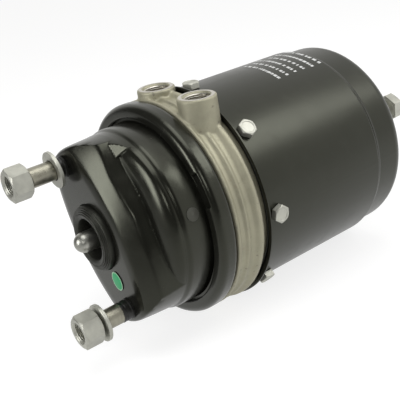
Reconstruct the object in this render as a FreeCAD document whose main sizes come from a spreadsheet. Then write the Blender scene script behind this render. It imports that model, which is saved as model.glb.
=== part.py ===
import FreeCAD, Part
import math
import os

import Sketcher
from FreeCAD import Placement, Rotation, Vector

# Combined service and spring brake chamber for a disc brake, in millimetres.
# The origin is the centre of the mounting face. The chamber's axis is Y: the push rod
# points along -Y and the spring chamber lies along +Y. +Z is up, along the air ports.

doc = FreeCAD.newDocument("air_brake_chamber")
sheet = doc.addObject("Spreadsheet::Sheet", "sizes")

# Driving dimensions in millimetres or degrees. All y values are places along the axis.
SIZES = {
    # Fits
    "touch_gap": 0.3,  # clearance between a soft or curved piece and its neighbour
    "run_gap": 0.05,  # radial clearance of a running fit
    "bolt_gap": 0.3,  # radial clearance of a bolt in a plain hole
    # Service housing
    "sheet_wall": 3.5,  # steel of the pressed housing
    "stud_pitch": 120.65,  # distance between the two mounting studs
    "stud_line_angle": 28.94,  # turn of the mounting pad about the axis, degrees
    "pad_half_width": 36.6,  # pad half width across its middle
    "pad_side_radius": 133,  # bow of the pad's long sides, seen from the front
    "platform_reach": 82,  # length of the platform's outline before its ends are turned
    "pad_end_radius": 72.6,  # distance of the pad's ends from the axis
    "pad_corner_radius": 10,  # corners of the pad, seen from the front
    "pad_edge_radius": 5,  # rounding from the pad's face to its flanks
    "ridge_half_width": 48,  # platform half width at its ridge
    "ridge_y": 12,  # place of the platform's ridge
    "waist_half_width": 45,  # platform half width where it meets the bowl
    "waist_y": 31,  # rear end of the platform, behind the bowl's front
    "bowl_front_y": 19,  # front of the bowl at its shoulder
    "bowl_centre_y": 40,  # where the bowl's hollow front would meet the axis
    "fold_gain": 1,  # how much later the inside of the front face starts
    "shoulder_radius": 74.2,  # bowl radius at its front shoulder
    "shoulder_round": 9,  # rounding of the front shoulder
    "step_y": 29.5,  # place of the step between shoulder and bowl
    "step_height": 4.5,  # length of the step along the axis
    "step_round": 6,  # roundings of the step
    "bowl_radius": 76,  # bowl radius at the clamp
    "rim_radius": 84,  # radius of the housing's rim
    "seal_hole_radius": 27.5,  # hole in the pad for the rod seal
    "vent_y": 44,  # place of the vents
    "vent_angle": 16.5,  # turn of the first vent from +X towards +Z, degrees
    "vent_radius": 5.2,  # hole for a vent plug
    "plug_lip": 1.2,  # lip and crown of a vent plug
    # Clamp
    "clamp_front_y": 53.3,  # front of the clamp ring
    "clamp_sheet": 3,  # steel of the clamp ring
    "clamp_play": 2.3,  # radial gap between the rims and the clamp ring
    "clamp_corner": 4,  # outer rounding at the rear lip
    "clamp_lip_radius": 78.9,  # inner edge of the clamp's front lip
    "notch_start": 17,  # start of the notch in the front lip, degrees
    "notch_sweep": 18,  # length of the notch, degrees
    "notch_radius": 85.5,  # outer edge of the notch
    "bead_thickness": 3,  # diaphragm bead between the rims
    "clamp_front_round": 6,  # outer rounding at the front lip
    # Intermediate flange
    "alloy_rim": 3.2,  # thickness of the flange's clamped rim
    "neck_radius": 79.8,  # neck behind the rim, under the clamp's rear lip
    "flange_step": 5.6,  # height of the flange's broad band over the cylinder bore
    "flange_rear_y": 94.5,  # rear face of the flange body
    "flange_bevel": 1.6,  # bevels of the flange body
    "collar_depth": 1.4,  # collar behind the clamp, below the broad band
    "collar_width": 2.6,  # width of the collar
    "channel_depth": 3.8,  # deeper channel behind the collar
    "channel_width": 4.2,  # its width at the bottom
    "rib_depth": 1.8,  # top of the rib between the channels
    "rib_width": 1.6,  # width of the rib
    "band_y": 88,  # front edge of the broad band
    "band_round": 2.4,  # edges of the broad band
    "slope": 1.6,  # length of each slope between them
    "slope_round": 1.2,  # soft edges of collar, channels and rib
    "dish_y": 79.3,  # wall that backs the diaphragm
    "dish_radius": 50,  # flat part of that wall
    "dish_mouth_radius": 73.5,  # dish at the bead
    "web_thickness": 11.7,  # wall between the two chambers
    "rear_bore_radius": 66,  # cavity behind the wall
    "hub_radius": 28,  # hub that guides the push tube
    "hub_rear_y": 117,  # rear end of the hub
    "spigot_rear_y": 121,  # rear end of the spigot in the cylinder
    "foot_recess_radius": 20.5,  # recess for the push foot
    "foot_recess_rear_y": 87,  # floor of that recess
    "flange_fillet": 4,  # fillets at the foot of the hub and of the spigot
    "spigot_bevel": 2,  # lead-in bevel of the spigot
    # Air ports
    "port_y": 86,  # both ports, along the axis
    "port_left_x": -12.5,  # left port, for the service chamber
    "port_right_x": 41,  # right port, for the spring chamber
    "port_top_z": 94,  # faces of the ports
    "boss_radius": 15.3,  # bosses of the ports at their faces
    "boss_foot_radius": 15.6,  # bosses where they leave the flange
    "boss_foot_left_z": 72,  # foot of the left boss, inside the flange
    "boss_foot_right_z": 62,  # foot of the right boss, inside the flange
    "boss_round": 1.2,  # outer edge of a boss
    "port_bore_radius": 10.2,  # M22 x 1.5 thread, minor radius
    "port_depth": 16,  # threaded depth
    "port_cone": 3,  # cone at the bottom of a port
    "port_mouth_radius": 11.5,  # chamfer at the mouth
    "drilling_radius": 3.5,  # air drillings from the ports
    "drilling_floor_z": 60,  # lower end of the drillings down from the ports
    "service_drilling_z": 64.5,  # drilling from the left port to the diaphragm
    "spring_drilling_z": 62,  # drilling from the right port to the piston
    # Spring cylinder and cap
    "cylinder_bore_radius": 85,  # bore of the spring cylinder
    "cylinder_wall": 2.4,  # steel of the cylinder
    "lip_y": 99.6,  # front edge of the cylinder
    "lip_height": 4.1,  # height of the flared lip over the cylinder
    "lip_width": 1.2,  # rim of the flare
    "lip_length": 4.1,  # length of the rim and the flare
    "cylinder_rear_y": 229.4,  # rear edge of the cylinder
    "cylinder_round": 2,  # rounding of the rear edge
    "bolt_y": 111.2,  # ring of cylinder bolts
    "bolt_count": 8,  # cylinder bolts
    "bolt_radius": 4,  # M8
    "bolt_head_flats": 13,  # head across flats
    "bolt_head_height": 5.3,  # head height
    "bolt_reach": 16,  # thread in the spigot
    "cap_radius": 84.5,  # rear cap, outside
    "cap_wall": 3,  # steel of the rear cap
    "cap_front_y": 220,  # front edge of the cap inside the cylinder
    "bead_height": 2.2,  # weld bead in the corner between the cylinder's edge and the cap
    "bead_length": 3.4,  # its length along the cap
    "cap_rear_y": 264,  # rear face of the cap
    "cap_round": 10,  # rounding of the rear face
    # Studs
    "stud_radius": 8,  # M16, plain land at the pad
    "stud_thread_radius": 7.5,  # threaded length, at the pitch diameter of M16 x 1.5
    "stud_knurl_radius": 8.6,  # knurl pressed through the pad
    "stud_land": 5,  # length of the land in front of the pad
    "stud_length": 40,  # length in front of the pad
    "stud_head_radius": 12,  # round head inside the housing
    "stud_head_height": 4,  # height of that head
    "nut_flats": 24,  # M16 nut and release bolt, across flats
    "nut_height": 16,  # nut height
    "nut_turn_upper": 12,  # turn of the upper nut, degrees
    "nut_turn_lower": 24,  # turn of the lower nut, degrees
    "nut_lower_y": -44.1,  # front face of the lower nut
    "nut_upper_y": -46.3,  # front face of the upper nut
    "washer_radius": 15,  # washers, outside
    "washer_bore_radius": 8.5,  # washers, inside
    "washer_thickness": 3,  # washers
    "washer_lower_y": -26.3,  # front face of the lower washer
    "washer_upper_y": -9,  # front face of the upper washer
    "stud_chamfer": 1,  # chamfer at the stud's end
    "nut_chamfer": 1,  # chamfer over the corners of a nut or bolt head
    # Rod, plate and seal
    "rod_radius": 8,  # push rod
    "rod_tip_y": -18,  # tip of the push rod
    "plate_front_y": 72.5,  # face of the push plate
    "plate_thickness": 3,  # push plate
    "plate_radius": 41,  # push plate, outside
    "plate_rim_height": 4.5,  # turned-up rim of the plate
    "rivet_radius": 5.5,  # riveted end of the rod
    "seal_front_y": -6.2,  # front of the rubber face seal
    "seal_radius": 26.7,  # seal at the pad
    "seal_front_radius": 24.6,  # seal at its front
    "seal_opening_radius": 17.1,  # opening of the seal
    "seal_flange_radius": 33,  # rubber flange behind the pad
    "seal_flange_thickness": 3,  # that flange
    "bellows_rear_y": 50,  # rear end of the bellows on the rod
    "bellows_wall": 1.6,  # rubber of the bellows
    "bellows_inner_radius": 10.5,  # valleys of the bellows
    "bellows_pleats": 6,  # pleats of the bellows
    "retainer_thickness": 1.5,  # steel ring that holds the seal
    "retainer_bore_radius": 23.5,  # bore of that ring
    "diaphragm_thickness": 3,  # rubber of the diaphragm
    "plate_round": 2,  # inner rounding of the plate's rim
    "seal_lip": 1.2,  # bevel of the seal's opening and width of its shoulder
    "seal_round": 0.8,  # outer rounding of the seal's front
    "seal_grip_wall": 3,  # sleeve of the bellows round the rod
    "seal_grip_length": 5,  # length of that sleeve
    "diaphragm_inset": 2.2,  # front of the diaphragm, inside the flange's dish
    "dish_gap": 0.6,  # back of the diaphragm to the dish
    "diaphragm_round": 4,  # roundings of the diaphragm
    # Springs
    "return_wire": 4,  # wire of the return spring
    "return_front_radius": 29.5,  # coil radius at the housing
    "return_rear_radius": 24,  # coil radius at the plate
    "return_turns": 5,  # turns of the return spring
    "power_wire": 13,  # wire of the power spring
    "power_radius": 60,  # coil radius of the power spring
    "power_turns": 3.75,  # turns of the power spring
    "wire_sides": 8,  # sides of the wire's section
    # Spring piston and push tube
    "piston_front_y": 188,  # front face of the piston
    "piston_web": 6,  # web of the piston
    "piston_rear_y": 212,  # rear end of the skirt
    "piston_gap": 0.4,  # piston skirt to the cylinder
    "skirt_wall": 8.5,  # piston skirt
    "seal_groove_y": 192,  # front of the groove for the piston seal
    "seal_groove_width": 6,  # its width
    "guide_groove_y": 202.5,  # front of the groove for the guide ring
    "guide_groove_width": 6,  # its width
    "groove_depth": 5,  # both grooves
    "piston_hub_radius": 23,  # hub round the push tube
    "piston_hub_rear_y": 206,  # rear end of the hub
    "tube_rear_y": 200,  # rear end of the push tube
    "tube_radius": 15,  # push tube, outside
    "tube_bore_radius": 12.6,  # push tube, inside
    "foot_radius": 19,  # push foot
    "foot_thickness": 4.9,  # push foot
    "foot_plug_length": 12,  # plug of the foot in the tube
    "bush_wall": 2.5,  # guide bush
    "bush_front_y": 97,  # guide bush, front
    "bush_length": 10,  # guide bush
    "tube_seal_width": 4.5,  # lip seals of the push tube
    "tube_seal_depth": 4,  # grooves of those seals
    "tube_seal_front_y": 90,  # front seal
    "tube_seal_rear_y": 109.5,  # rear seal
    "ring_wire_radius": 1.6,  # cylinder O-ring
    "ring_groove_y": 101.6,  # front of the O-ring groove
    "ring_groove_width": 4,  # its width
    "piston_round": 1.5,  # front edge of the piston and of the foot
    "piston_fillet": 4,  # fillets behind the piston's web
    # Release bolt
    "release_radius": 8,  # release bolt
    "release_head_rear_y": 355,  # rear end of its head
    "release_head_height": 12,  # height of its head
    "thrust_radius": 12.2,  # thrust washer in the tube
    "thrust_thickness": 3,  # thrust washer
    "clip_thickness": 1.2,  # circlip in front of the washer
    "clip_radius": 9.6,  # circlip, outside
    "clip_groove_radius": 6.8,  # groove of the circlip
    "release_end": 2,  # bolt end in front of the circlip
    "shank_hole_radius": 8.7,  # hole in the piston's shoulder
    "release_nut_radius": 15,  # release nut through the cap
    "release_nut_flange": 22,  # its flange inside the cap
    "release_nut_flange_thickness": 4,  # that flange
    "release_nut_stand": 4,  # nut behind the cap
}

for row, (alias, amount) in enumerate(SIZES.items(), 1):
    sheet.set(f"A{row}", alias)
    sheet.set(f"B{row}", str(amount))
    sheet.setAlias(f"B{row}", alias)
doc.recompute()


def value(formula):
    """Number for a formula of sizes joined by + - * and /, worked from left to right."""
    total = 0.0
    term = None
    sign = 1.0
    operation = None
    for word in str(formula).split():
        if word in "+-":
            total += sign * (term or 0.0)
            sign = 1.0 if word == "+" else -1.0
            term = None
            continue
        if word in "*/":
            operation = word
            continue
        negative = word.startswith("-") and not word[1:2].isdigit()
        name = word[1:] if negative else word
        number = float(getattr(sheet, name)) if name[0].isalpha() else float(name)
        number = -number if negative else number
        if operation == "*":
            term *= number
        elif operation == "/":
            term /= number
        else:
            term = number
        operation = None
    return total + sign * term


def linked(formula):
    """The same formula in the document's own expression language."""
    words = []
    for word in str(formula).split():
        negative = word.startswith("-") and word[1:2].isalpha()
        name = word[1:] if negative else word
        if name[0].isalpha():
            name = "sizes." + name
        words.append("-" + name if negative else name)
    return " ".join(words)


def negated(formula):
    """The formula with every sign turned."""
    words = formula.split()
    turned_words = [{"+": "-", "-": "+"}.get(word, word) for word in words]
    first = turned_words[0]
    turned_words[0] = first[1:] if first.startswith("-") else "-" + first
    return " ".join(turned_words)


def signed(formula):
    """The formula as the continuation of another."""
    return "- " + formula[1:] if formula.startswith("-") else "+ " + formula


def bind(feature, **formulas):
    """Tie properties of a feature to formulas of the sheet's sizes."""
    for name, formula in formulas.items():
        feature.setExpression(name.replace("__", "."), linked(formula))


def new_body(name):
    body = doc.addObject("PartDesign::Body", name)
    body.Label = name
    return body


def origin(body, role):
    """One of the body's own origin planes or axes."""
    return next(f for f in body.Origin.OriginFeatures if f.Role == role)


def new_sketch(body, name, role, offset="0", turn="0"):
    """Sketch on an origin plane, moved along the plane's normal and turned about it."""
    sketch = body.newObject("Sketcher::SketchObject", name)
    sketch.AttachmentSupport = (origin(body, role), [""])
    sketch.MapMode = "FlatFace"
    place = Placement(Vector(0, 0, value(offset)), Rotation(Vector(0, 0, 1), value(turn)))
    sketch.AttachmentOffset = place
    if offset != "0":
        sketch.setExpression("AttachmentOffset.Base.z", linked(offset))
    if turn != "0":
        sketch.setExpression("AttachmentOffset.Rotation.Angle", linked(turn) + " * 1 deg")
    return sketch


def across(sketch, kind, formula, geometry, point):
    """Distance of a point from the sketch's origin along its x or y."""
    if formula == "0":
        axis = -2 if kind == "DistanceX" else -1
        sketch.addConstraint(Sketcher.Constraint("PointOnObject", geometry, point, axis))
        return
    number = value(formula)
    at = sketch.addConstraint(Sketcher.Constraint(kind, -1, 1, geometry, point, number))
    sketch.setExpression(f"Constraints[{at}]", linked(formula))


def outline(sketch, corners):
    """Closed outline of straight runs; a corner with a third value is rounded to that radius."""
    places = [Vector(value(corner[0]), value(corner[1]), 0) for corner in corners]
    count = len(corners)
    starts, ends, radii = [], [], []
    for i, corner in enumerate(corners):
        radius = value(corner[2]) if len(corner) > 2 else 0.0
        back = (places[i - 1] - places[i]).normalize()
        ahead = (places[(i + 1) % count] - places[i]).normalize()
        half = math.acos(max(-1.0, min(1.0, back.dot(ahead)))) / 2
        run = radius / math.tan(half) if radius else 0.0
        ends.append(places[i] + back * run)
        starts.append(places[i] + ahead * run)
        radii.append(radius)
    lines = []
    for i in range(count):
        lines.append(sketch.addGeometry(Part.LineSegment(starts[i], ends[(i + 1) % count])))
    for i, corner in enumerate(corners):
        before, after = lines[i - 1], lines[i]
        if not radii[i]:
            sketch.addConstraint(Sketcher.Constraint("Coincident", before, 2, after, 1))
            across(sketch, "DistanceX", corner[0], after, 1)
            across(sketch, "DistanceY", corner[1], after, 1)
            continue
        back = (ends[i] - places[i]).normalize()
        ahead = (starts[i] - places[i]).normalize()
        middle = (back + ahead).normalize()
        reach = radii[i] / math.sin(math.acos(back.dot(ahead)) / 2)
        centre = places[i] + middle * reach
        left = back.cross(ahead).z < 0
        first, last = (ends[i], starts[i]) if left else (starts[i], ends[i])
        angles = [math.atan2(p.y - centre.y, p.x - centre.x) for p in (first, last)]
        circle = Part.Circle(centre, Vector(0, 0, 1), radii[i])
        arc = sketch.addGeometry(Part.ArcOfCircle(circle, angles[0], angles[1]))
        entry, leave = (1, 2) if left else (2, 1)
        sketch.addConstraint(Sketcher.Constraint("Tangent", before, 2, arc, entry))
        sketch.addConstraint(Sketcher.Constraint("Tangent", arc, leave, after, 1))
        size = sketch.addConstraint(Sketcher.Constraint("Radius", arc, radii[i]))
        sketch.setExpression(f"Constraints[{size}]", linked(corner[2]))
        point = sketch.addGeometry(Part.Point(places[i]), True)
        sketch.addConstraint(Sketcher.Constraint("PointOnObject", point, 1, before))
        sketch.addConstraint(Sketcher.Constraint("PointOnObject", point, 1, after))
        across(sketch, "DistanceX", corner[0], point, 1)
        across(sketch, "DistanceY", corner[1], point, 1)


def circle(sketch, radius, x="0", y="0"):
    """Circle at a place in the sketch."""
    centre = Vector(value(x), value(y), 0)
    geometry = sketch.addGeometry(Part.Circle(centre, Vector(0, 0, 1), value(radius)))
    size = sketch.addConstraint(Sketcher.Constraint("Radius", geometry, value(radius)))
    sketch.setExpression(f"Constraints[{size}]", linked(radius))
    across(sketch, "DistanceX", x, geometry, 3)
    across(sketch, "DistanceY", y, geometry, 3)


def turned(body, name, corners, cut=False):
    """Solid, or cut, of an outline of (radius, y) corners turned about the chamber's axis."""
    sketch = new_sketch(body, name + "_outline", "XY_Plane")
    outline(sketch, corners)
    kind = "PartDesign::Groove" if cut else "PartDesign::Revolution"
    feature = body.newObject(kind, name)
    feature.Profile = sketch
    feature.ReferenceAxis = (sketch, ["V_Axis"])
    feature.Angle = 360
    sketch.Visibility = False
    return feature


def padded(body, name, sketch, length, cut=False, reverse=False):
    """Pad, or pocket, of a sketch over a length."""
    kind = "PartDesign::Pocket" if cut else "PartDesign::Pad"
    feature = body.newObject(kind, name)
    feature.Profile = sketch
    feature.Length = value(length)
    feature.Reversed = reverse
    bind(feature, Length=length)
    return feature


def around(body, name, originals, count, sweep="360"):
    """Copies of features about the chamber's axis."""
    feature = body.newObject("PartDesign::PolarPattern", name)
    feature.Originals = originals
    feature.Axis = (origin(body, "Y_Axis"), [""])
    feature.Angle = value(sweep)
    feature.Occurrences = int(value(count))
    bind(feature, Occurrences=count)
    body.Tip = feature
    return feature


def edges_where(feature, test):
    """Names of the feature's edges that pass the test."""
    return [f"Edge{i}" for i, edge in enumerate(feature.Shape.Edges, 1) if test(edge)]


def rounded(body, name, feature, edges, radius):
    """Fillet on edges of a feature."""
    fillet = body.newObject("PartDesign::Fillet", name)
    fillet.Base = (feature, edges)
    fillet.Radius = value(radius)
    bind(fillet, Radius=radius)
    return fillet


# Places that follow from the driving dimensions: the stack under the clamp, front to rear.
RIM_FRONT = "clamp_front_y + clamp_sheet"
RIM_REAR = RIM_FRONT + " + sheet_wall"
BEAD_REAR = RIM_REAR + " + bead_thickness"
ALLOY_RIM_REAR = BEAD_REAR + " + alloy_rim"
CLAMP_REAR = ALLOY_RIM_REAR + " + clamp_sheet"
FLANGE_FRONT = CLAMP_REAR + " + touch_gap"
PLATE_REAR = "plate_front_y + plate_thickness"
SPIGOT_RADIUS = "cylinder_bore_radius - run_gap"
CYLINDER_RADIUS = "cylinder_bore_radius + cylinder_wall"
LIP_RADIUS = CYLINDER_RADIUS + " + lip_height"
FLANGE_RADIUS = "cylinder_bore_radius + flange_step"
CLAMP_RADIUS = "rim_radius + clamp_play + clamp_sheet"
PISTON_RADIUS = "cylinder_bore_radius - piston_gap"
RELEASE_FRONT = "tube_rear_y - thrust_thickness - clip_thickness - release_end"
BORE_RUN = "cylinder_bore_radius - run_gap"
TUBE_RUN = "tube_radius + run_gap"
RETAINER_FRONT = "sheet_wall + seal_flange_thickness"
NUT_CORNER = f"nut_flats / 2 * {round(2 / math.sqrt(3), 4)}"


def cylinder(name, radius, length, x="0", y="0", z="0", turn=(1, 0, 0, -90)):
    """Plain cylinder; by default its axis runs along +Y from the given place."""
    feature = doc.addObject("Part::Cylinder", name)
    feature.Radius = value(radius)
    feature.Height = value(length)
    bind(feature, Radius=radius, Height=length)
    feature.Placement.Rotation = Rotation(Vector(*turn[:3]), turn[3])
    for axis, formula in (("x", x), ("y", y), ("z", z)):
        feature.setExpression("Placement.Base." + axis, linked(formula))
    return feature


def combined(kind, name, base, tool):
    """Part::Fuse, Part::Cut or Part::Common of two shapes."""
    feature = doc.addObject("Part::" + kind, name)
    feature.Base = base
    feature.Tool = tool
    feature.Refine = True
    return feature


def all_of(name, shapes):
    """Union of several shapes."""
    feature = doc.addObject("Part::MultiFuse", name)
    feature.Shapes = shapes
    return feature


def lens(sketch, growth):
    """Bar outline with two bowed sides and straight ends, grown all round from the pad's."""
    side_radius = "pad_side_radius + " + growth
    half_length = "platform_reach + " + growth
    centre = "pad_half_width - pad_side_radius"
    side, length, middle = value(side_radius), value(half_length), value(centre)
    reach = math.sqrt(side**2 - length**2)
    corner = middle + reach
    spread = math.atan2(length, reach)
    arcs, lines = [], []
    for sign in (1, -1):
        ring = Part.Circle(Vector(sign * middle, 0, 0), Vector(0, 0, 1), side)
        facing = 0 if sign == 1 else math.pi
        arcs.append(sketch.addGeometry(Part.ArcOfCircle(ring, facing - spread, facing + spread)))
        start, end = Vector(sign * corner, sign * length, 0), Vector(-sign * corner, sign * length, 0)
        lines.append(sketch.addGeometry(Part.LineSegment(start, end)))
    for i in range(2):
        sketch.addConstraint(Sketcher.Constraint("Coincident", arcs[i], 2, lines[i], 1))
        sketch.addConstraint(Sketcher.Constraint("Coincident", lines[i], 2, arcs[1 - i], 1))
        size = sketch.addConstraint(Sketcher.Constraint("Radius", arcs[i], side))
        sketch.setExpression(f"Constraints[{size}]", linked(side_radius))
        sketch.addConstraint(Sketcher.Constraint("Horizontal", lines[i]))
        across(sketch, "DistanceY", "0", arcs[i], 3)
    across(sketch, "DistanceX", centre, arcs[0], 3)
    across(sketch, "DistanceX", "pad_side_radius - pad_half_width", arcs[1], 3)
    across(sketch, "DistanceY", half_length, lines[0], 1)
    across(sketch, "DistanceY", negated(half_length), lines[1], 1)


def platform(name, stations, inset, edge_radius="0", corner_radius="0"):
    """Bar-shaped platform: flanks that widen to a ridge, then a waist into the bowl."""
    body = new_body(name)
    front_y, rear_y = stations[0][1], stations[-1][1]
    for i, ((first, start), (last, end)) in enumerate(zip(stations, stations[1:])):
        offset = "0" if start == "0" else negated(start)
        sketch = new_sketch(body, f"{name}_outline_{i}", "XZ_Plane", offset, "stud_line_angle")
        lens(sketch, f"{first} - pad_half_width - {inset}")
        length = end + " " + signed(negated(start))
        feature = padded(body, f"{name}_flank_{i}", sketch, length, reverse=True)
        feature.TaperAngle = math.degrees(math.atan2(value(last) - value(first), value(length)))
    end_radius = "pad_end_radius - " + inset
    ends = turned(body, name + "_ends", [
        (end_radius, front_y + " - 1"), ("platform_reach * 2", front_y + " - 1"),
        ("platform_reach * 2", rear_y + " + 1"), (end_radius, rear_y + " + 1"),
    ], cut=True)
    doc.recompute()
    if edge_radius != "0":
        radius, place = value(end_radius), value(front_y)

        def at_corner(edge):
            on_end = [abs(math.hypot(v.X, v.Z) - radius) < 0.01 for v in edge.Vertexes]
            return all(on_end) and edge.BoundBox.YLength > 1

        last = rounded(body, name + "_corners", ends, edges_where(ends, at_corner), corner_radius)
        doc.recompute()
        front = edges_where(last, lambda edge: abs(edge.BoundBox.YMax - place) < 0.01)
        rounded(body, name + "_edge", last, front, edge_radius)
    return body


def make_service_housing():
    """Deep-drawn bowl with a bar-shaped platform that carries the mounting pad."""
    bowl = new_body("housing_bowl")
    turned(bowl, "bowl", [
        ("0", "bowl_centre_y"),
        ("shoulder_radius", "bowl_front_y", "shoulder_round"),
        ("shoulder_radius", "step_y", "step_round"),
        ("bowl_radius", "step_y + step_height", "step_round"),
        ("bowl_radius", RIM_FRONT),
        ("rim_radius", RIM_FRONT),
        ("rim_radius", RIM_REAR),
        ("0", RIM_REAR),
    ])
    outside = platform("housing_platform", [
        ("pad_half_width", "0"), ("ridge_half_width", "ridge_y"),
        ("waist_half_width", "waist_y")], "0", "pad_edge_radius", "pad_corner_radius")
    bowl_inside = new_body("housing_bowl_inside")
    turned(bowl_inside, "bowl_inside", [
        ("0", "bowl_centre_y + sheet_wall"),
        ("shoulder_radius - sheet_wall", "bowl_front_y + sheet_wall + fold_gain",
         "shoulder_round - sheet_wall"),
        ("shoulder_radius - sheet_wall", "step_y + sheet_wall"),
        ("bowl_radius - sheet_wall", "step_y + step_height + sheet_wall"),
        ("bowl_radius - sheet_wall", RIM_REAR + " + sheet_wall"),
        ("0", RIM_REAR + " + sheet_wall"),
    ])
    inside = platform("housing_platform_inside", [
        ("pad_half_width", "sheet_wall"), ("ridge_half_width", "ridge_y + sheet_wall / 2"),
        ("waist_half_width", "waist_y + sheet_wall"),
        ("waist_half_width", "bowl_centre_y + sheet_wall * 2")], "sheet_wall")
    holes = [cylinder("seal_hole", "seal_hole_radius", "sheet_wall * 3", y="-sheet_wall")]
    for side, formula in (("upper", "stud_pitch / 2"), ("lower", "-stud_pitch / 2")):
        hole = cylinder("stud_hole_" + side, "stud_knurl_radius", "sheet_wall * 3")
        on_stud_line(hole, formula, "-sheet_wall")
        holes.append(hole)
    vent = cylinder("vent_holes", "vent_radius", "rim_radius * 2", turn=(0, 1, 0, 90))
    across_bowl(vent, "-rim_radius")
    holes.append(vent)
    outer = combined("Fuse", "housing_outer", bowl, outside)
    hollow = all_of("housing_hollow", [bowl_inside, inside, *holes])
    return combined("Cut", "service_housing", outer, hollow)


def on_stud_line(feature, formula, y):
    """Place a feature on the line of the studs, its axis along +Y."""
    feature.Placement.Rotation = Rotation(Vector(1, 0, 0), -90)
    line = f"({linked(formula)})"
    angle = "sizes.stud_line_angle * 1 deg"
    feature.setExpression("Placement.Base.x", f"-{line} * sin({angle})")
    feature.setExpression("Placement.Base.z", f"{line} * cos({angle})")
    feature.setExpression("Placement.Base.y", linked(y))


def across_bowl(feature, along):
    """Place a feature on the line of the vents, its axis from the bowl's far side to the near."""
    angle = "sizes.vent_angle * 1 deg"
    feature.setExpression("Placement.Rotation.Angle", "90 deg - " + angle)
    feature.Placement.Rotation = Rotation(Vector(0, 1, 0), 90 - value("vent_angle"))
    feature.setExpression("Placement.Base.x", f"({linked(along)}) * cos({angle})")
    feature.setExpression("Placement.Base.z", f"({linked(along)}) * sin({angle})")
    feature.setExpression("Placement.Base.y", "sizes.vent_y")


def group(name, members):
    """One node of separate alike solids."""
    feature = doc.addObject("Part::Compound", name)
    feature.Links = members
    feature.Label = name
    return feature


def ring(name, inner, outer, front, rear):
    """Plain ring about the chamber's axis."""
    body = new_body(name)
    turned(body, name + "_ring", [(inner, front), (outer, front), (outer, rear), (inner, rear)])
    return body


def hex_prism(name, flats, length):
    """Hexagonal prism along +Y from the origin."""
    feature = doc.addObject("Part::Prism", name)
    feature.Polygon = 6
    feature.setExpression("Circumradius", linked(flats) + " / sqrt(3)")
    bind(feature, Height=length)
    feature.Placement.Rotation = Rotation(Vector(1, 0, 0), -90)
    return feature


def make_studs():
    """Two studs, each pressed through the pad from inside."""
    studs = []
    for side, formula in (("upper", "stud_pitch / 2"), ("lower", "-stud_pitch / 2")):
        body = new_body("stud_" + side)
        turned(body, "stud_" + side + "_turning", [
            ("0", "-stud_length"),
            ("stud_thread_radius - stud_chamfer", "-stud_length"),
            ("stud_thread_radius", "-stud_length + stud_chamfer"),
            ("stud_thread_radius", "-stud_land"),
            ("stud_radius", "-stud_land"),
            ("stud_radius", "0"),
            ("stud_knurl_radius", "0"),
            ("stud_knurl_radius", "sheet_wall"),
            ("stud_head_radius", "sheet_wall"),
            ("stud_head_radius", "sheet_wall + stud_head_height"),
            ("0", "sheet_wall + stud_head_height"),
        ])
        on_stud_line(body, formula, "0")
        body.Placement.Rotation = Rotation()
        inside = cylinder("stud_limit_" + side, "pad_end_radius - sheet_wall",
                          "stud_length * 2", y="-stud_length - 1")
        studs.append(combined("Common", "stud_in_pad_" + side, body, inside))
    return group("mounting_studs", studs)


def make_stud_nuts():
    """Hex nuts with chamfered corners, screwed to the ends of the studs."""
    nuts = []
    for side, formula in (("upper", "stud_pitch / 2"), ("lower", "-stud_pitch / 2")):
        prism = hex_prism("nut_prism_" + side, "nut_flats", "nut_height")
        envelope = new_body("nut_chamfers_" + side)
        turned(envelope, "nut_turning_" + side, [
            ("stud_thread_radius + run_gap", "0"),
            ("nut_flats / 2", "0"),
            (NUT_CORNER, "nut_chamfer"),
            (NUT_CORNER, "nut_height - nut_chamfer"),
            ("nut_flats / 2", "nut_height"),
            ("stud_thread_radius + run_gap", "nut_height"),
        ])
        nut = combined("Common", "nut_" + side, prism, envelope)
        on_stud_line(nut, formula, "nut_" + side + "_y")
        nut.Placement.Rotation = Rotation(Vector(0, 1, 0), value("nut_turn_" + side))
        nuts.append(nut)
    return group("stud_nuts", nuts)


def make_stud_washers():
    """Flat washers hung on the studs."""
    washers = []
    for side, formula in (("upper", "stud_pitch / 2"), ("lower", "-stud_pitch / 2")):
        disc = cylinder("washer_disc_" + side, "washer_radius", "washer_thickness")
        bore = cylinder("washer_bore_" + side, "washer_bore_radius", "washer_thickness")
        washer = combined("Cut", "washer_" + side, disc, bore)
        on_stud_line(washer, formula, "washer_" + side + "_y")
        washer.Placement.Rotation = Rotation()
        washers.append(washer)
    return group("stud_washers", washers)


def make_vent_plugs():
    """Rubber plugs pressed into the bowl's vents, one on each side."""
    plugs = []
    for side, half_turn in (("near", 0), ("far", 180)):
        body = new_body("vent_plug_" + side)
        turned(body, "vent_plug_turning_" + side, [
            ("0", "bowl_radius - sheet_wall - plug_lip"),
            ("vent_radius + plug_lip", "bowl_radius - sheet_wall - plug_lip"),
            ("vent_radius - touch_gap / 3", "bowl_radius - sheet_wall - touch_gap"),
            ("vent_radius - touch_gap / 3", "bowl_radius + plug_lip / 2"),
            ("0", "bowl_radius + plug_lip"),
        ])
        turn = value("vent_angle") + half_turn
        body.Placement.Rotation = Rotation(Vector(0, 1, 0), -turn) * Rotation(Vector(0, 0, 1), -90)
        body.setExpression("Placement.Base.y", "sizes.vent_y")
        plugs.append(body)
    return group("vent_plugs", plugs)


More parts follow.
